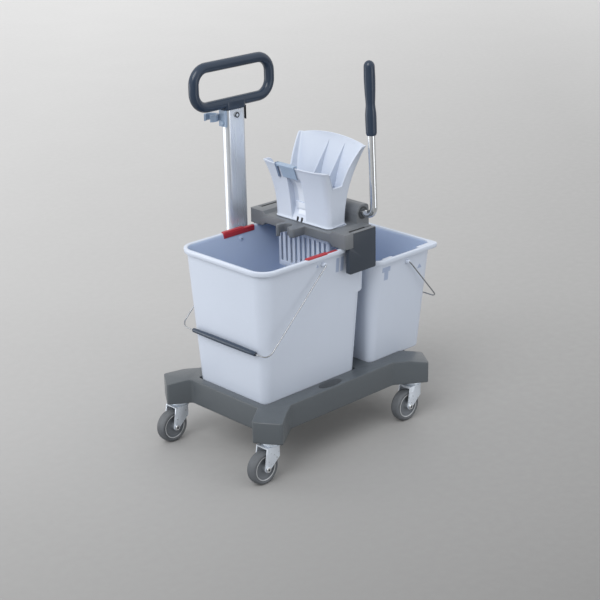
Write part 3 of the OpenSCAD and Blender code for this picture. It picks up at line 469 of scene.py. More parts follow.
def cut(obj, blocks, sharp):
    """Takes blocks out of a finished piece and keeps edges above an angle sharp."""
    tool = moved(joined(blocks), Matrix.Scale(TO_M, 4))
    bmesh.ops.recalc_face_normals(tool, faces=tool.faces)
    cutter = placed("cutter", mesh_of(tool, "cutter"))
    step = obj.modifiers.new("cut", "BOOLEAN")
    step.operation = "DIFFERENCE"
    step.solver = "EXACT"
    step.object = cutter
    result = bpy.data.meshes.new_from_object(obj.evaluated_get(bpy.context.evaluated_depsgraph_get()))
    obj.modifiers.remove(step)
    result.set_sharp_from_angle(angle=math.radians(sharp))
    obj.data = result
    bpy.data.objects.remove(cutter)


# Buckets. COLLAR is the height and the x of the big bucket's rear collar, and COLLAR_STEP leads out to it by
# (height, share). PATCH_LAYER is measured outwards from the wall and PAD_LAYER down from the rim.

LIP = 7.0
LIP_H = 12.0
WALL = 3.0
FLOOR = 4.0
BASE_R = 20.0
RIM_R = 38.0
EAR_PROUD = 0.6
EAR_SINK = 1.0
COLLAR = (370.0, 110.5)
COLLAR_STEP = ((-0.4, 0), (0, 0.1), (0.1, 0.85), (0.9, 0.96), (2.4, 1))
NOTCH_STEP = 0.4
NOTCH_DEPTH = 10.0
NOTCH_SLACK = 0.1
PATCH_LAYER = (-0.5, 0.3)
PAD_LAYER = (4.0, 0.1)


class Tub:
    """Bucket with a rolled lip; front and rear say how far its base lies inside the rim's box."""

    def __init__(self, node, front, rear, base_half, lip_rear_r, collar=None, notch=None):
        lo, hi = box_mm(node)
        self.node = node
        self.reach = hi.y
        self.base = (lo.x + front, hi.x - rear, base_half)
        self.top = (lo.x + LIP, hi.x - LIP, hi.y - EAR_PROUD - LIP)
        self.z0 = lo.z
        self.z1 = hi.z
        self.lip_rear_r = lip_rear_r
        self.collar = collar
        self.notch = notch

    def wall_y(self, z):
        """Half width of the wall at a height."""
        return lerp(self.base[2], self.top[2], (z - self.z0) / (self.z1 - self.z0))

    def ring(self, z, inset, lip=False, reach=0.0):
        """Outline of the wall at a height, drawn in by inset; reach takes its rear to the collar (0 to 1)."""
        t = (z - self.z0) / (self.z1 - self.z0)
        x0, x1, y = (lerp(a, b, t) for a, b in zip(self.base, self.top))
        corner = lerp(BASE_R, RIM_R, t) - inset
        rear = self.lip_rear_r + LIP + inset if lip else corner
        if reach:
            x1 = lerp(x1, max(x1, self.collar[1]), reach)
        radii = (corner, rear, rear, corner)
        xs = self.notch_stations() if self.notch else ()
        flat = outline(x0 + inset, x1 - inset, -y + inset, y - inset, radii, xs=xs)
        return [(px, py, self.notched(px, py, z)) for px, py in flat]

    def notch_stations(self):
        lo, hi = self.notch
        return lo.x - NOTCH_STEP, lo.x, hi.x, hi.x + NOTCH_STEP

    def notched(self, x, y, z):
        """Height of a rim point, lowered where an insert lies in the lip."""
        if self.notch:
            lo, hi = self.notch
            along = lo.x - NOTCH_STEP / 2 < x < hi.x + NOTCH_STEP / 2
            across = hi.y - NOTCH_DEPTH < abs(y) < hi.y + NOTCH_SLACK
            return min(z, lo.z) if along and across else z
        return z

    def shell(self):
        """Skin from the raised middle of the base, up the wall, over the lip and down inside to the floor.

        The rows of foot, roll and inside are pairs of a height and an inset.
        """
        z0, z1 = self.z0, self.z1
        under = z1 - LIP_H
        foot = ((z0 + 3, 16), (z0 + 3, 11), (z0 + 0.8, 9.5), (z0, 8), (z0, 5), (z0 + 0.7, 2), (z0 + 2.2, 0.6),
                (z0 + 5, 0))
        rows = [self.ring(z, inset) for z, inset in foot]
        if self.collar:
            rows += [self.ring(self.collar[0] + dz, 0, reach=reach) for dz, reach in COLLAR_STEP]
            rows += [self.ring(z, 0, reach=1) for z in (under - 3, under)]
        else:
            rows += [self.ring(z, 0) for z in (under - 4, under)]
        roll = ((under, 2 - LIP), (under + 0.6, 0.6 - LIP), (under + 2, -LIP), (z1 - 2.6, -LIP),
                (z1 - 0.8, 0.8 - LIP), (z1 - 0.2, 2.2 - LIP), (z1, 2.6 - LIP))
        rows += [self.ring(z, inset, lip=True) for z, inset in roll]
        inside = ((z1, 0.4), (z1 - 0.6, 1.8), (z1 - 2.4, WALL), (z1 - 9, WALL), (z1 - 20, WALL),
                  (z0 + FLOOR + 12, WALL), (z0 + FLOOR + 4, WALL + 2.4), (z0 + FLOOR + 1, WALL + 6),
                  (z0 + FLOOR, WALL + 12))
        # From just inside the rim's top down to the floor, the skin takes the second finish, the painted
        # shade of the inside.
        rim_rows = len(rows) + 2
        rows += [self.ring(z, inset) for z, inset in inside]
        return loft(rows, second_from=rim_rows)

    def ears(self, x, z):
        """Round bosses that carry the bail's ends, and their heads inside the wall."""
        y = self.wall_y(z) - EAR_SINK
        length = self.reach - y
        profile = ((0, 0), (7.4, 0), (6, 1.2), (5.4, 3), (5.2, length - 1), (4.4, length), (0, length))
        inner = ((0, 0), (8.5, 0), (8, -2.4), (6, -3.2), (0, -3.5))
        for side in (-1, 1):
            turn = turned((x, side * y, z), -90 * side, "X")
            yield moved(lathe(profile, ROUND), turn)
            yield moved(lathe(inner, ROUND, second_from=0), turn)

    def patches(self, outlines):
        """Thin plates on both long walls, drawn by their (x, z) corners, in a darker finish that is painted
        shade of moulded recesses.
        """
        parts = [loft([[(x, side * (self.wall_y(z) + out), z) for x, z in points] for out in PATCH_LAYER])
                 for points in outlines for side in (-1, 1)]
        piece(self.node + "_patches", joined(parts), self.node, finish=PAINTED_RECESS_SHADE, added=True)

    def pads(self, spans):
        """Flat shelves on the rim's inner edge, along both long walls, through (x0, x1, width) spans."""
        y = self.wall_y(self.z1)
        z0, z1 = (self.z1 - drop for drop in PAD_LAYER)
        for x0, x1, width in spans:
            for side in (-1, 1):
                y0, y1 = sorted((side * (y - WALL - width), side * y))
                yield slab(x0, x1, y0, y1, z0, z1, r=2.5, edge=0.8)


def rect(x0, x1, z0, z1):
    return [(x0, z0), (x1, z0), (x1, z1), (x0, z1)]


# Shade marks are darker plates of painted shade where the walls have moulded recesses; they are drawn by (x,
# z) corners and pads by (x0, x1, width). CROWN and SKIRT are y ranges, outwards from the inner face of an
# insert.

BIG_SHADE_MARKS = (rect(-1, 9, 440, 475), rect(14, 24, 440, 475), [(-66, 468), (-58, 468), (-62, 476)])
SMALL_SHADE_MARKS = (rect(157.5, 184.5, 398, 410), rect(164.5, 178, 376, 398), [(284, 377), (300, 377), (292, 388)])
SMALL_PADS = ((158, 192, 5), (285, 338, 8))
CROWN = (0.5, 11.5)
CROWN_H = 2.8
CROWN_SINK = 2.0
CROWN_GAP = 3.0
SKIRT = (-0.8, 2.0)
SKIRT_DROP = 5.0
INSERT_TRIM = 0.4

big = Tub("big_bucket", front=27, rear=27, base_half=117, lip_rear_r=RIM_R, collar=COLLAR,
          notch=box_mm("rim_insert_far"))
big_parts = [big.shell(), *big.ears(*axis_of("big_bail_swing"))]
piece("big_bucket_shell", joined(big_parts), "big_bucket", second=INSIDE_PAINTED_SHADE)
big.patches(BIG_SHADE_MARKS)


def rim_insert(node):
    """Red insert in the lip: flush under the press, crowned before it, with a skirt on the inner wall."""
    lo, hi = box_mm(node)
    crown_x1 = box_mm("press_holder")[0].x - CROWN_GAP
    inner = min(lo.y, hi.y, key=abs)
    outwards = math.copysign(1, inner)
    crown = sorted(inner + reach * outwards for reach in CROWN)
    skirt = sorted(inner + reach * outwards for reach in SKIRT)
    x0 = lo.x + INSERT_TRIM
    x1 = hi.x - INSERT_TRIM
    parts = [slab(lo.x, hi.x, lo.y, hi.y, lo.z, hi.z, r=1, edge=0.6),
             slab(x0, crown_x1, *crown, hi.z - CROWN_SINK, hi.z + CROWN_H, r=3.5, edge=1.6),
             slab(x0, x1, *skirt, lo.z - SKIRT_DROP, hi.z - INSERT_TRIM, r=1.3, edge=0.8)]
    piece(node + "_moulded", joined(parts), node)


rim_insert("rim_insert_near")
rim_insert("rim_insert_far")

small = Tub("small_bucket", front=18, rear=32, base_half=118, lip_rear_r=12)
small_parts = [small.shell(), *small.ears(*axis_of("small_bail_swing")), *small.pads(SMALL_PADS)]
piece("small_bucket_shell", joined(small_parts), "small_bucket", second=INSIDE_PAINTED_SHADE)
small.patches(SMALL_SHADE_MARKS)

SLEEVE_BORE = 1.9
SLEEVE_SWELL = 1.1
SLEEVE_ROWS = 16


def grip_sleeve(node, trim):
    """Plastic sleeve along Y with soft ends, fuller in its middle and shorter by trim at each end."""
    lo, hi = box_mm(node)
    r = (hi.x - lo.x) / 2
    half = (hi.y - lo.y) / 2 - trim
    end = [(SLEEVE_BORE, -half), (r - 2.6, -half), (r - 1.6, -half + 0.5), (r - SLEEVE_SWELL, -half + 1.8)]
    places = [lerp(-1, 1, t) for t in shares(SLEEVE_ROWS)[1:-1]]
    middle = [(r - SLEEVE_SWELL * t * t, t * (half - 2)) for t in places]
    profile = end + middle + [(a, -b) for a, b in reversed(end)]
    turn = turned((lo + hi) / 2, -90, "X")
    piece(node + "_sleeve", moved(lathe(profile, ROUND), turn), node)


grip_sleeve("big_bail_grip", trim=0)
grip_sleeve("small_bail_grip", trim=8)

# Funnel; heights are above its foot. SIDE_EDGE is the top edge of the near (-1) and the far (1) side, as
# (share of the side, height). CHANNEL, RIDGE, LEDGE and FRONT_FILL are y places on the front wall, and
# CHANNEL_RISE is (height, share of the depth). FOOT_ROLL is (height, outwards), EDGE_ROLL (depth below the
# edge, outwards) and EDGE_INNER (depth below the edge, inwards).

funnel_lo, funnel_hi = box_mm("press_funnel")
FOOT_Z = funnel_lo.z
FOOT_X0 = 25.0
FOOT_X1 = 88.5
FOOT_HALF = 92.0
FOOT_BACK_HALF = 86.0
FUNNEL_T = 3.5
FUNNEL_H = funnel_hi.z - FOOT_Z
FRONT_H = 141.0
FRONT_EDGE_H = 140.0
FRONT_EDGE_RISE = 5.0
FLARE = 2.2
BACK_FLARE = 2.05
BACK_CORNER_H = 189.0
FRONT_R = 13.0
BACK_R = 8.0
FLANGE = 2.0
LIP_ROLL = 1.2
BACK_CROWN = 13.0
EDGE_EASE = 0.012
CORE_HALF = 41.0
SIDE_EDGE = {
    -1: ((0, 143), (0.03, 141), (0.105, 101), (0.6, 100), (0.912, 187), (1, 189)),
    1: ((0, 143), (0.09, 143), (0.16, 139), (0.25, 101), (0.77, 100), (0.98, 186), (1, 187)),
}
CHANNEL = (-15.4, -15.0, 31.0)
CHANNEL_DEPTH = 13.0
CHANNEL_RISE = ((0, 0), (10, 0.12), (20, 0.6), (30, 0.88), (48, 1), (84, 1), (103, 0.6), (110, 0))
RIDGE = (31.6, 35.0, 36.0)
RIDGE_H = 2.5
LEDGE = (-13.2, -12.6, 26.0, 26.6)
LEDGE_ROWS = (29.0, 30.0, 47.4, 48.4)
LEDGE_H = 3.0
FRONT_FILL = (-32, -24, -6, 0, 8, 14, 20)
LOW_ROWS = (5, 10, 15, 20, *LEDGE_ROWS, 60, 72, 84, 93)
EDGE_DROP = 5.0
FOOT_ROLL = ((0, 0), (1.4, FLANGE), (2.8, FLANGE), (3.6, 0.6))
EDGE_ROLL = ((4.2, LIP_ROLL), (0.9, LIP_ROLL), (0.2, 0.6), (0, 0))
EDGE_INNER = ((0, FUNNEL_T - 1), (0.8, FUNNEL_T))


def channel_depth(y, z):
    """How far the front wall steps back at a place on it."""
    fade = steps(CHANNEL_RISE, z)
    depth = steps(list(zip(CHANNEL + RIDGE, (0, CHANNEL_DEPTH, CHANNEL_DEPTH, -RIDGE_H, -RIDGE_H, 0))), y)
    across = steps(list(zip(LEDGE, (0, 1, 1, 0))), y)
    ledge = steps(list(zip(LEDGE_ROWS, (0, 1, 1, 0))), z)
    return (depth - LEDGE_H * across * ledge) * fade


def funnel_stations():
    """Places round the funnel as (kind, side, share); a front station's share is its y at the foot."""
    corner = FOOT_HALF - FRONT_R
    core = sorted(CHANNEL + RIDGE + LEDGE + FRONT_FILL, reverse=True)
    plain = [lerp(corner, CORE_HALF, t) for t in shares(6)]
    front = plain + core + [-y for y in reversed(plain)]
    turns = shares(6)[1:-1]
    side = shares(80)
    back = [lerp(-1, 1, t) for t in shares(20)]
    return ([("front", 0, y) for y in front] + [("front_corner", -1, t) for t in turns]
            + [("side", -1, t) for t in side] + [("back_corner", -1, t) for t in turns]
            + [("back", 0, t) for t in back] + [("back_corner", 1, 1 - t) for t in turns]
            + [("side", 1, 1 - t) for t in side] + [("front_corner", 1, 1 - t) for t in turns])


def funnel_height(station):
    """Height of the top edge at a station."""
    kind, side, share = station
    corner_h = FUNNEL_H - BACK_CROWN
    if kind == "front":
        return FRONT_EDGE_H + FRONT_EDGE_RISE * abs(share / (FOOT_HALF - FRONT_R)) ** 4
    if kind == "front_corner":
        return lerp(FRONT_EDGE_H + FRONT_EDGE_RISE, SIDE_EDGE[side][0][1], share)
    if kind == "side":
        return eased(SIDE_EDGE[side], share, EDGE_EASE)
    if kind == "back_corner":
        return lerp(SIDE_EDGE[side][-1][1], corner_h, share)
    return FUNNEL_H - BACK_CROWN * share * share


def back_share(z):
    """How far the back wall has leaned out at a height, from 0 to 1."""
    return min(max(z, 0) / BACK_CORNER_H, 1) ** BACK_FLARE


def back_x(z):
    """Outer face of the back wall at a height."""
    return lerp(FOOT_X1, funnel_hi.x, back_share(z))


def funnel_point(station, z, inset):
    """Point of the funnel wall at a height, drawn in by inset."""
    kind, side, share = station
    front_rise = min(z / FRONT_H, 1) ** FLARE * FRONT_H + max(z - FRONT_H, 0)
    x0 = FOOT_X0 - (FOOT_X0 - funnel_lo.x) * front_rise / FRONT_H + inset
    x1 = back_x(z) - inset
    front_y = FOOT_HALF + (funnel_hi.y - FOOT_HALF) * front_rise / FUNNEL_H - inset
    back_y = lerp(FOOT_BACK_HALF, funnel_hi.y, back_share(z)) - inset
    r0 = FRONT_R - inset
    r1 = BACK_R - inset
    turn = math.radians(90) * share
    if kind == "front":
        y = share
        if abs(share) > CORE_HALF:
            out = (abs(share) - CORE_HALF) / (FOOT_HALF - FRONT_R - CORE_HALF)
            y = math.copysign(lerp(CORE_HALF, front_y - r0, out), share)
        x = x0 + channel_depth(share, z)
    elif kind == "front_corner":
        x = x0 + r0 * (1 - math.cos(turn))
        y = side * (front_y - r0 * (1 - math.sin(turn)))
    elif kind == "side":
        x = lerp(x0 + r0, x1 - r1, share)
        y = side * lerp(front_y, back_y, share)
    elif kind == "back_corner":
        x = x1 - r1 * (1 - math.sin(turn))
        y = side * (back_y - r1 * (1 - math.cos(turn)))
    else:
        x = x1
        y = share * (back_y - r1)
    return x, y, FOOT_Z + z


def funnel_wall():
    """Closed skin: up the outside from the foot's flange, over the rolled edge and down the inside."""
    stations = funnel_stations()
    heights = [funnel_height(station) for station in stations]

    def row(level, inset):
        return [funnel_point(station, level(height), inset) for station, height in zip(stations, heights)]

    def fixed(z):
        return lambda height: z

    def upper(t):
        return lambda height: lerp(LOW_ROWS[-1], height - EDGE_DROP, t)

    def below_edge(d):
        return lambda height: height - d

    climb = [fixed(z) for z in LOW_ROWS] + [upper(t) for t in shares(8)[1:]]
    rows = [row(fixed(z), -out) for z, out in FOOT_ROLL]
    rows += [row(level, 0) for level in climb]
    rows += [row(below_edge(d), -out) for d, out in EDGE_ROLL]
    rows += [row(below_edge(d), inset) for d, inset in EDGE_INNER]
    rows += [row(level, FUNNEL_T) for level in reversed(climb)]
    rows.append(row(fixed(0), FUNNEL_T))
    return loft(rows, loop=True)


FIN_Y = (10.0, -42.0)
FIN_RISE = (84.0, 183.0)
FIN_REACH = 34.0
FIN_FOOT_HALF = 2.2
FIN_EDGE_HALF = 1.4
SLOTS = ((10.4, 17.4), (-3.6, 3.0))
SLOT_H = 11.5
SLOT_BACKING_ROWS = (0.2, 5, 10, SLOT_H + 2)
FUNNEL_SHARP = 32
GUIDE = (-11.0, 17.0)
GUIDE_PROUD = 1.2
GUIDE_RISE = ((18, 47), (49, 100))
CUT_BELOW = 2.0
SLOT_CUT = (-4.0, 12.0)
RACK_CUT = (-8.0, 8.0)
RACK_PLAY = 1.0


def back_fin(y):
    """Gusset on the inner face of the back wall, thinner towards its free edge."""
    low, high = FIN_RISE
    foot = [(back_x(z) - 1, z) for z in (lerp(high, low, t) for t in shares(8))]
    free = [(back_x(low) - FUNNEL_T - FIN_REACH, low + 4), (back_x(high) - FUNNEL_T - 0.5, high)]
    return loft([[(x, y + FIN_FOOT_HALF * side, FOOT_Z + z) for x, z in foot]
                 + [(x, y + FIN_EDGE_HALF * side, FOOT_Z + z) for x, z in free] for side in (-1, 1)])


def guide_strip(z0, z1):
    """Pale strip on the channel's floor between two heights, with sloped sides; its paler finish is painted
    light.
    """
    y0, y1 = GUIDE
    rings = []
    for z in (lerp(z0, z1, t) for t in shares(8)):
        x = funnel_point(("front", 0, 0), z, 0)[0]
        section = ((x + 0.5, y0), (x + 0.5, y1), (x - GUIDE_PROUD, y1 - 0.8), (x - GUIDE_PROUD, y0 + 0.8))
        rings.append([(px, py, FOOT_Z + z) for px, py in section])
    return loft(rings)


def dark_painted_shade():
    """Dark plate in the wall behind the two slots: painted shade that makes the slots read as deep."""
    y0 = SLOTS[1][0] - 1
    y1 = SLOTS[0][1] + 1
    rings = []
    for z in SLOT_BACKING_ROWS:
        x = funnel_point(("front", 0, SLOTS[1][1]), z, 0)[0] + 1
        section = ((x, y0), (x, y1), (x + FUNNEL_T, y1), (x + FUNNEL_T, y0))
        rings.append([(px, py, FOOT_Z + z) for px, py in section])
    return loft(rings)


funnel = piece("press_funnel_wall", funnel_wall(), "press_funnel", sharp=FUNNEL_SHARP)
cut_z = FOOT_Z - CUT_BELOW
slot_x = [FOOT_X0 + d for d in SLOT_CUT]
ways = [slab(*slot_x, y0, y1, cut_z, FOOT_Z + SLOT_H, r=1.5, edge=0.5) for y0, y1 in SLOTS]
rack_lo, rack_hi = box_mm("press_rack")
rack_x = [FOOT_X1 + d for d in RACK_CUT]
ways.append(slab(*rack_x, rack_lo.y - RACK_PLAY, rack_hi.y + RACK_PLAY, cut_z, rack_hi.z + RACK_PLAY,
                 r=1, edge=0.5))
cut(funnel, ways, FUNNEL_SHARP)
piece("press_funnel_fins", joined([back_fin(y) for y in FIN_Y]), "press_funnel", added=True)
guide = joined([guide_strip(*rise) for rise in GUIDE_RISE])
piece("press_funnel_guide", guide, "press_funnel", finish=GUIDE_PAINTED_LIGHT, added=True)
piece("press_funnel_slot_shade", dark_painted_shade(), "press_funnel", finish=PAINTED_SHADE_DARK, added=True)

CLIP_GAP = 1.5
CLIP_T = 2.6
CLIP_TOP = 140.6
CLIP_PLATE = ((-7, 110, 124), (40, 110, 124), (41.8, 136, 130), (51, 136, 130))
CLIP_LEG = ((51, 107, 124), (58, 107, 124))


def plain_x(z):
    """Outer face of the front wall beside the channel, at a height."""
    return funnel_point(("front", 0, 50), z, 0)[0]


def edge_skin(front_low, back_low):
    """Outline of a clip over the front wall's top edge, as (x, height) down to the given heights."""
    front = [lerp(front_low, CLIP_TOP, t) for t in shares(5)]
    back = [lerp(back_low, CLIP_TOP, t) for t in shares(3)]
    edge_x = plain_x(CLIP_TOP)
    crest = CLIP_TOP + CLIP_GAP + CLIP_T
    skin = [(plain_x(z) - CLIP_GAP - CLIP_T, z) for z in front]
    skin += [(edge_x - CLIP_GAP - CLIP_T + 1, crest), (edge_x + FUNNEL_T + CLIP_GAP + CLIP_T, crest)]
    skin += [(plain_x(z) + FUNNEL_T + CLIP_GAP + CLIP_T, z) for z in reversed(back)]
    skin += [(plain_x(z) + FUNNEL_T + CLIP_GAP, z) for z in back]
    skin += [(edge_x - CLIP_GAP, CLIP_TOP + CLIP_GAP)]
    return skin + [(plain_x(z) - CLIP_GAP, z) for z in reversed(front[:-1])]


def over_edge(stations):
    """Clip that hugs the front wall's top edge through (y, front_low, back_low) stations."""
    return loft([[(x, y, FOOT_Z + z) for x, z in edge_skin(*lows)] for y, *lows in stations])


piece("funnel_clip_hook", over_edge(CLIP_PLATE), "funnel_clip", bevel=0.7, segments=2)
# The leg's darker finish is painted shade.
piece("funnel_clip_leg", over_edge(CLIP_LEG), "funnel_clip", finish=CLIP_PAINTED_SHADE, added=True, bevel=0.7,
      segments=2)
rounded_copy("strainer", bevel=0.5, segments=2)

# Press holder, side plates and lever. PLATE_GAP is a y range on either side. GAP_RISE and LIP_RISE are
# heights from a plate's top. HOUSING_TOP is (x, z) and BEARING_SHADE is (radius, height) of the ring of
# painted shade round the lever's bearing.

PLATE_SETBACK = 12.0
PLATE_EDGE = 6.0
PLATE_GAP = (147.4, 153.4)
GAP_X0 = 34.0
GAP_TRIM = 22.0
GAP_RISE = (-12.0, 1.2)
LIP_RISE = (-2.0, 1.0)
HOUSING_HALF = 103.25
HOUSING_TOP = ((113, 534), (113, 559), (115, 563), (119, 565.5), (128, 568), (138, 569.3), (144, 568.4),
               (147.6, 565.4), (149.1, 560), (149.1, 534))
BEARING_SHADE = ((10, -0.5), (15.5, -0.5), (15.5, 0.3), (14.8, 0.6), (10, 0.4))

rounded_copy("press_holder", bevel=2)


def side_plate(node):
    """Slate plate with its front edge a little behind the end block's."""
    bm = copy_mm(node)
    front = min(v.co.x for v in bm.verts)
    for v in bm.verts:
        if v.co.x < front + PLATE_EDGE:
            v.co.x += PLATE_SETBACK
    piece(node + "_moulded", bm, node, finish=PLATE_SLATE, bevel=2.5)


def plate_gap(node):
    """Near-black slab of painted shade in the gap between a side plate's head and the end block, and the
    block's lip over the plate.
    """
    lo, hi = box_mm(node)
    gap_y = sorted(math.copysign(y, lo.y) for y in PLATE_GAP)
    lip_y = sorted(math.copysign(y, lo.y) for y in (PLATE_GAP[1], max(abs(lo.y), abs(hi.y))))
    gap = slab(GAP_X0, hi.x - GAP_TRIM, *gap_y, hi.z + GAP_RISE[0], hi.z + GAP_RISE[1], r=1, edge=0.2)
    lip = slab(GAP_X0, hi.x, *lip_y, hi.z + LIP_RISE[0], hi.z + LIP_RISE[1], r=1.5, edge=0.8)
    piece(node + "_gap", gap, "press_holder", finish=PAINTED_SHADE_DARK, added=True)
    piece(node + "_lip", lip, "press_holder", added=True)


for plate in ("side_plate_near", "side_plate_far"):
    side_plate(plate)
    plate_gap(plate)


def housing_cover():
    """Square shoulder over the round pivot housing."""
    return loft([[(x, y, z) for x, z in HOUSING_TOP] for y in (-HOUSING_HALF, HOUSING_HALF)])


piece("press_housing_cover", housing_cover(), "press_holder", added=True, bevel=1, segments=2)
rounded_copy("shaft_collar", bevel=0.8, segments=2)


def bearing_shade_ring():
    """Dark ring of painted shade on the near end of the housing, round the lever's bearing."""
    x, z = axis_of("lever_pull")
    return moved(lathe(BEARING_SHADE, loop=True), turned((x, -HOUSING_HALF, z), 90, "X"))


piece("press_housing_bearing_shade", bearing_shade_ring(), "press_holder", finish=DARK_CAP_AND_SHADE, added=True)

# GRIP_SHAPE is (share of the length, share of the radius)

LEVER_LEAN = 2.5
LEVER_Y = -140.0
GRIP_BOTTOM = 198.0
GRIP_L = 176.0
GRIP_R = 14.4
GRIP_BORE = 9.1
GRIP_SHAPE = ((0, 0.86), (0.03, 0.9), (0.15, 0.93), (0.28, 0.93), (0.37, 0.82), (0.41, 0.76), (0.46, 0.8),
              (0.6, 0.89), (0.75, 0.94), (0.9, 0.9))
GRIP_EASE = 0.02
GRIP_ROWS = 40
GRIP_ROUND = 36
DOME_START = 0.92
DOME_TURNS = (20, 40, 58, 74, 86)


def lever_grip():
    """Two soft lobes with a waist between them and a domed top."""
    profile = [(GRIP_BORE, 0), (GRIP_R * 0.8, 0)]
    for share in shares(GRIP_ROWS)[1:]:
        t = share * DOME_START
        profile.append((GRIP_R * eased(GRIP_SHAPE, t, GRIP_EASE), t * GRIP_L))
    last = profile[-1][0]
    for turn in (math.radians(a) for a in DOME_TURNS):
        profile.append((last * math.cos(turn), GRIP_L * lerp(DOME_START, 1, math.sin(turn))))
    profile.append((0, GRIP_L))
    pivot_x, pivot_z = axis_of("lever_pull")
    place = turned((pivot_x, 0, pivot_z), -LEVER_LEAN, "Y") @ Matrix.Translation((0, LEVER_Y, GRIP_BOTTOM))
    return moved(lathe(profile, GRIP_ROUND), place)


piece("lever_grip_body", lever_grip(), "lever_grip")

# Push handle, mast and the cap in the near rail. SHADE_SLIVER_X, SHADE_SLIVER_Y and SHADE_SLIVER_Z place the
# sliver of painted shade beside the mast and are measured from a top corner of the mast; CLIP_CAP,
# SCREW_SHADE_RING and COVER_CAP are (radius, height).

loop_lo, loop_hi = box_mm("push_handle")
mast_lo, mast_hi = box_mm("mast")
screw_lo, screw_hi = box_mm("handle_screws")
MAST_X = (mast_lo.x + mast_hi.x) / 2
MAST_Y = (mast_lo.y + mast_hi.y) / 2
LOOP_R = 12.5
LOOP_BEND = 38.0
LOOP_RISE = 16.5
LOOP_STATIONS = (-50, 0, 50)
BLOCK_HALF_X = 33.0
BLOCK_HALF_Y = 13.5
BLOCK_RISE = 6.0
PLUG_FIT = 2.6
CLIP_TAIL = 11.0
CLIP_HEAD_H = 16.0
CLIP_HEAD_X = (0.4, -0.05)
CLIP_HEAD_TRIM = 0.5
CLIP_CAP = ((0, -0.5), (6.4, -0.5), (6.4, 2.4), (5.4, 3.1), (0, 3.2))
SCREW_R = 5.0
SCREW_H = 2.5
SCREW_SHADE_RING = ((4, 0), (6.8, 0), (6.6, 0.7), (4, 0.7))
SHADE_SLIVER_X = (2.4, 4.0)
SHADE_SLIVER_Y = (3.0, 15.0)
SHADE_SLIVER_Z = (-30.0, 4.0)
COVER_CAP = ((0, -2), (1, -2), (1, 0.3), (0.97, 0.6), (0, 0.5))
COVER_SIZE = (36.0, 15.0)
COVER_ROUND = 48
RAIL_TOP = box_mm("chassis")[1].z


def loop_handle():
    """Oval hand loop with the block that sits on the mast and the plug that goes down into it."""
    low = mast_hi.z + LOOP_RISE
    flat = outline(loop_lo.x + LOOP_R, loop_hi.x - LOOP_R, low, loop_hi.z - LOOP_R, [LOOP_BEND] * 4,
                   xs=[MAST_X + d for d in LOOP_STATIONS], count=10)
    ring = tube([(x, MAST_Y, z) for x, z in flat], LOOP_R)
    block = slab(MAST_X - BLOCK_HALF_X, MAST_X + BLOCK_HALF_X, MAST_Y - BLOCK_HALF_Y, MAST_Y + BLOCK_HALF_Y,
                 mast_hi.z, low + BLOCK_RISE, r=11, edge=2.5)
    plug = slab(mast_lo.x + PLUG_FIT, mast_hi.x - PLUG_FIT, mast_lo.y + PLUG_FIT, mast_hi.y - PLUG_FIT,
                loop_lo.z, mast_hi.z + 2, r=7, edge=0.5)
    return joined([ring, block, plug])


piece("push_handle_loop", loop_handle(), "push_handle")


def tool_clip():
    """The clip with the tail of its plate taken off."""
    bm = copy_mm("tool_clip")
    tail_z = box_mm("tool_clip")[0].z + CLIP_TAIL
    everything = bm.verts[:] + bm.edges[:] + bm.faces[:]
    bmesh.ops.bisect_plane(bm, geom=everything, plane_co=(0, 0, tail_z), plane_no=(0, 0, 1), clear_inner=True)
    bmesh.ops.holes_fill(bm, edges=[edge for edge in bm.edges if edge.is_boundary])
    return bm


def screw_shade_ring():
    """Dark ring of painted shade round the screw head on the mast's near face."""
    place = (screw_hi.x - SCREW_R, screw_lo.y, screw_hi.z - SCREW_R)
    return moved(lathe(SCREW_SHADE_RING, ROUND, loop=True), turned(place, 90, "X"))


def clip_head():
    """Top of the tool clip's plate, up to the loop, and the cap over its screw."""
    face_x = screw_lo.x + SCREW_H
    plate = slab(face_x + CLIP_HEAD_X[0], mast_lo.x + CLIP_HEAD_X[1],
                 mast_lo.y + CLIP_HEAD_TRIM, mast_hi.y - CLIP_HEAD_TRIM,
                 mast_hi.z - CLIP_HEAD_H, mast_hi.z + 1, r=1, edge=0.5)
    cap = lathe(CLIP_CAP, ROUND)
    return joined([plate, moved(cap, turned((face_x, MAST_Y, screw_lo.z + SCREW_R), -90, "Y"))])


def handle_shade_sliver():
    """Thin dark sheet of painted shade that hangs from the loop beside the mast."""
    return slab(mast_hi.x + SHADE_SLIVER_X[0], mast_hi.x + SHADE_SLIVER_X[1], mast_lo.y + SHADE_SLIVER_Y[0], mast_lo.y + SHADE_SLIVER_Y[1],
                mast_hi.z + SHADE_SLIVER_Z[0], mast_hi.z + SHADE_SLIVER_Z[1], r=0.7, edge=0.5)


def oval_cover(node):
    """Dark oval cap over the spare socket in the near rail."""
    lo, hi = box_mm(node)
    middle = (lo + hi) / 2
    stretch = Matrix.Diagonal((*COVER_SIZE, 1, 1))
    place = Matrix.Translation((middle.x, middle.y, RAIL_TOP)) @ stretch
    piece(node + "_cap", moved(lathe(COVER_CAP, COVER_ROUND), place), node, finish=DARK_CAP_AND_SHADE)


piece("tool_clip_moulded", tool_clip(), "tool_clip", bevel=1.2, segments=2)
piece("tool_clip_head", clip_head(), "tool_clip", added=True)
piece("handle_screw_shade_ring", screw_shade_ring(), "handle_screws", finish=PAINTED_SHADE_DARK, added=True)
rounded_copy("mast_socket", bevel=2)
oval_cover("socket_cover")
piece("handle_shade_sliver", handle_shade_sliver(), "push_handle", finish=PAINTED_SHADE_DARK, added=True)

# Chassis

rounded_copy("chassis", bevel=3.2, segments=4)

# Casters; a wheel's profile is (radius, place along its axle)

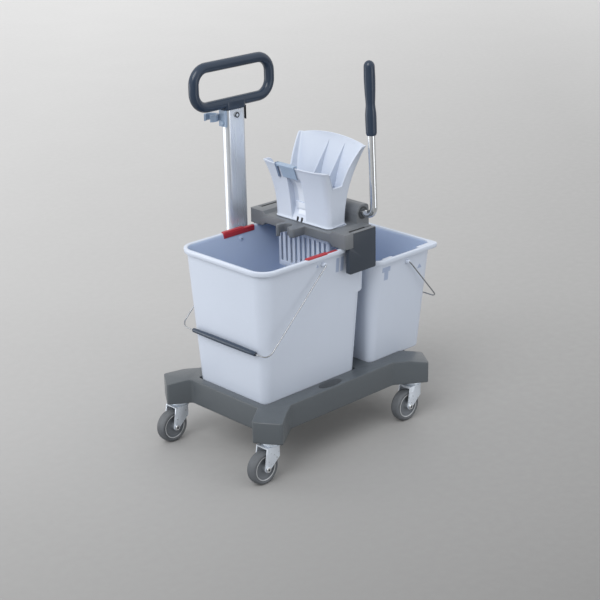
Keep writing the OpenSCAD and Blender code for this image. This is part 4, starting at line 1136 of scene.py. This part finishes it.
TYRE_SIDE = ((30.1, 11.5), (31, 12.4), (32.4, 12.6), (33, 13), (35, 12.9), (37.2, 11.8), (38.8, 9.6),
             (39.5, 7.4), (39.2, 7), (39.2, 6.4), (39.7, 6), (40, 2.4), (39.6, 2), (39.6, 1.4), (40, 1))
HUB_SIDE = ((4.1, 15.4), (7, 15.4), (8, 14.8), (8.6, 13), (9.4, 7.4), (11, 6.4), (22, 5.6), (25, 6.6),
            (27, 9.8), (27.6, 11), (30, 10.4))
HUB_BEAD = ((27.7, 10.9), (28.2, 12), (29.4, 12.1), (30, 11.2), (30, 9.6), (27.7, 9.6))
AXLE_DISC = ((0, -0.5), (3, -0.5), (3, 0.2), (2.4, 0.35), (0, 0.35))
TYRE_ROUND = 64
TYRE_SHARP = 50
HUB_ROUND = 48
DISC_ROUND = 20


def both_sides(half):
    """Profile of a wheel part out of the half on one side of its middle."""
    return list(half) + [(r, -z) for r, z in reversed(half)]


def hub():
    """Dished hub with a bead in the second finish on each side."""
    dish = lathe(both_sides(HUB_SIDE), HUB_ROUND, loop=True)
    beads = [lathe([(r, side * z) for r, z in HUB_BEAD], HUB_ROUND, loop=True, second_from=0)
             for side in (-1, 1)]
    return joined([dish, *beads])


def axle_discs(length):
    """Small dark discs on the two heads of an axle."""
    return joined([lathe([(r, side * (z + length / 2)) for r, z in AXLE_DISC], DISC_ROUND)
                   for side in (-1, 1)])


for corner in CORNERS:
    axle_lo, axle_hi = box_mm("caster_axle_" + corner)
    turn = turned((axle_lo + axle_hi) / 2, 90, "X")
    piece("caster_hub_dish_" + corner, moved(hub(), turn), "caster_hub_" + corner, second=HUB_RING)
    tyre = lathe(both_sides(TYRE_SIDE), TYRE_ROUND, loop=True)
    piece("caster_tyre_tread_" + corner, moved(tyre, turn), "caster_tyre_" + corner, sharp=TYRE_SHARP)
    rounded_copy("caster_fork_" + corner, bevel=1, segments=2)
    rounded_copy("caster_stem_" + corner, bevel=1, segments=2)
    rounded_copy("caster_axle_" + corner, bevel=0.9, segments=2)
    discs = moved(axle_discs(axle_hi.y - axle_lo.y), turn)
    piece("caster_axle_socket_" + corner, discs, "caster_axle_" + corner, finish=AXLE_STEEL, added=True)

# Floor, light and camera; places are in metres. FLOOR_PAINTED_FALLOFF is (grey, change to the sides) at
# FLOOR_DEPTHS, and is painted light falloff on the floor.

CAMERA = (-2.388, -2.5304, 1.6362)
CAMERA_TURN = 46.4811
CAMERA_TILT = 20.5043
CAMERA_ROLL = -1.1144
LENS = 91.967
SENSOR = 36
AWAY = (math.cos(math.radians(CAMERA_TURN)), math.sin(math.radians(CAMERA_TURN)), 0)
RIGHTWARD = (AWAY[1], -AWAY[0], 0)
FLOOR_PAINTED_FALLOFF = ((142, 24), (173, 17), (204, 7))
FLOOR_DEPTHS = (-0.82, 0.9, 6.4)
FLOOR_HALF = 30
FLOOR_DRIFT = 1.2
AIM = (0, 0, 0.4)
KEY_PLACE = (-3.4, -0.9, 3.9)
KEY_POWER = 1.55
KEY_ANGLE = 40
CARD_SIZE = (0.7, 0.85)
CARD_Z = 0.45
CARD_SPREAD = 80
SURROUND = 0.88
SHADED = 0.25
SHADED_FACING = (-0.98, -0.8)


def grey(value):
    return srgb(value, value, value)


def painted_falloff_grey(s, near, far, side):
    """Grey of the painted light falloff from front to back along the left (1) or the right (-1) of the floor.
    """
    front, middle, back = (grey(tone + side * drift) for tone, drift in FLOOR_PAINTED_FALLOFF)
    return s.mix(far, s.mix(near, front, middle), back)


def floor_material():
    """Pale floor with painted light falloff: a little darker towards the camera and to the right."""
    s = Shader("studio_floor")
    depth = s.along(AWAY)
    near = s.spread(depth, FLOOR_DEPTHS[0], FLOOR_DEPTHS[1], 0, 1)
    far = s.spread(depth, FLOOR_DEPTHS[1], FLOOR_DEPTHS[2], 0, 1)
    left, right = (painted_falloff_grey(s, near, far, side) for side in (1, -1))
    body = s.mix(s.spread(s.along(RIGHTWARD), -FLOOR_DRIFT, FLOOR_DRIFT, 0, 1), left, right)
    body = s.mix(s.spread(s.noise(3, 6), 0.35, 0.7, 0, 0.03), body, grey(140))
    gloss = s.spread(s.noise(40, 5), 0.3, 0.7, 0.6, 0.8)
    return s.done(body, gloss, s.bump(s.noise(300, 4), distance=0.0005, strength=0.08))


def floor():
    bm = bmesh.new()
    bmesh.ops.create_grid(bm, x_segments=1, y_segments=1, size=FLOOR_HALF)
    obj = placed("floor", mesh_of(bm, "floor"))
    obj.data.materials.append(floor_material())


def lamp(name, kind, place, power):
    """Lamp at a place, pointed at the middle of the trolley."""
    light = bpy.data.lights.new(name, kind)
    light.energy = power
    obj = placed(name, light)
    obj.location = place
    obj.rotation_mode = "QUATERNION"
    obj.rotation_quaternion = (Vector(AIM) - Vector(place)).to_track_quat("-Z", "Y")
    return light


def card(name, right, away, power):
    """Soft rectangle of light beside the trolley, which gives edges and metal their bright lines."""
    place = Vector(RIGHTWARD) * right + Vector(AWAY) * away + Vector((0, 0, CARD_Z))
    light = lamp(name, "AREA", place, power)
    light.shape = "RECTANGLE"
    light.size, light.size_y = CARD_SIZE
    light.spread = math.radians(CARD_SPREAD)


def lights():
    key = lamp("key", "SUN", KEY_PLACE, KEY_POWER)
    key.angle = math.radians(KEY_ANGLE)
    card("card_left", right=-1.5, away=0.1, power=0.95)
    card("card_right", right=1.25, away=-0.75, power=0.75)


def world():
    """Bright studio all round, with a darker part where the camera stands, so that metal has contrast."""
    surround = bpy.data.worlds.new("studio")
    surround.use_nodes = True
    tree = surround.node_tree
    direction = tree.nodes.new("ShaderNodeTexCoord")
    facing = tree.nodes.new("ShaderNodeVectorMath")
    facing.operation = "DOT_PRODUCT"
    tree.links.new(direction.outputs["Generated"], facing.inputs[0])
    facing.inputs[1].default_value = AWAY
    level = tree.nodes.new("ShaderNodeMapRange")
    tree.links.new(facing.outputs["Value"], level.inputs["Value"])
    for socket, number in zip(RANGE_SOCKETS, (*SHADED_FACING, SHADED, SURROUND)):
        level.inputs[socket].default_value = number
    tree.links.new(level.outputs["Result"], tree.nodes["Background"].inputs["Strength"])
    tree.nodes["Background"].inputs["Color"].default_value = (1, 1, 1, 1)
    bpy.context.scene.world = surround


def camera():
    """Camera fitted to the photograph."""
    tilt = math.radians(CAMERA_TILT)
    back = Vector((-math.cos(tilt) * AWAY[0], -math.cos(tilt) * AWAY[1], math.sin(tilt)))
    right = Vector(RIGHTWARD)
    level = Matrix((right, right.cross(-back), back)).transposed()
    lens = bpy.data.cameras.new("camera")
    lens.lens = LENS
    lens.sensor_width = SENSOR
    obj = placed("camera", lens)
    roll = Matrix.Rotation(math.radians(CAMERA_ROLL), 3, "Z")
    obj.matrix_world = Matrix.Translation(CAMERA) @ (level @ roll).to_4x4()
    bpy.context.scene.camera = obj


floor()
world()
lights()
camera()
bpy.context.scene.view_settings.view_transform = "Standard"
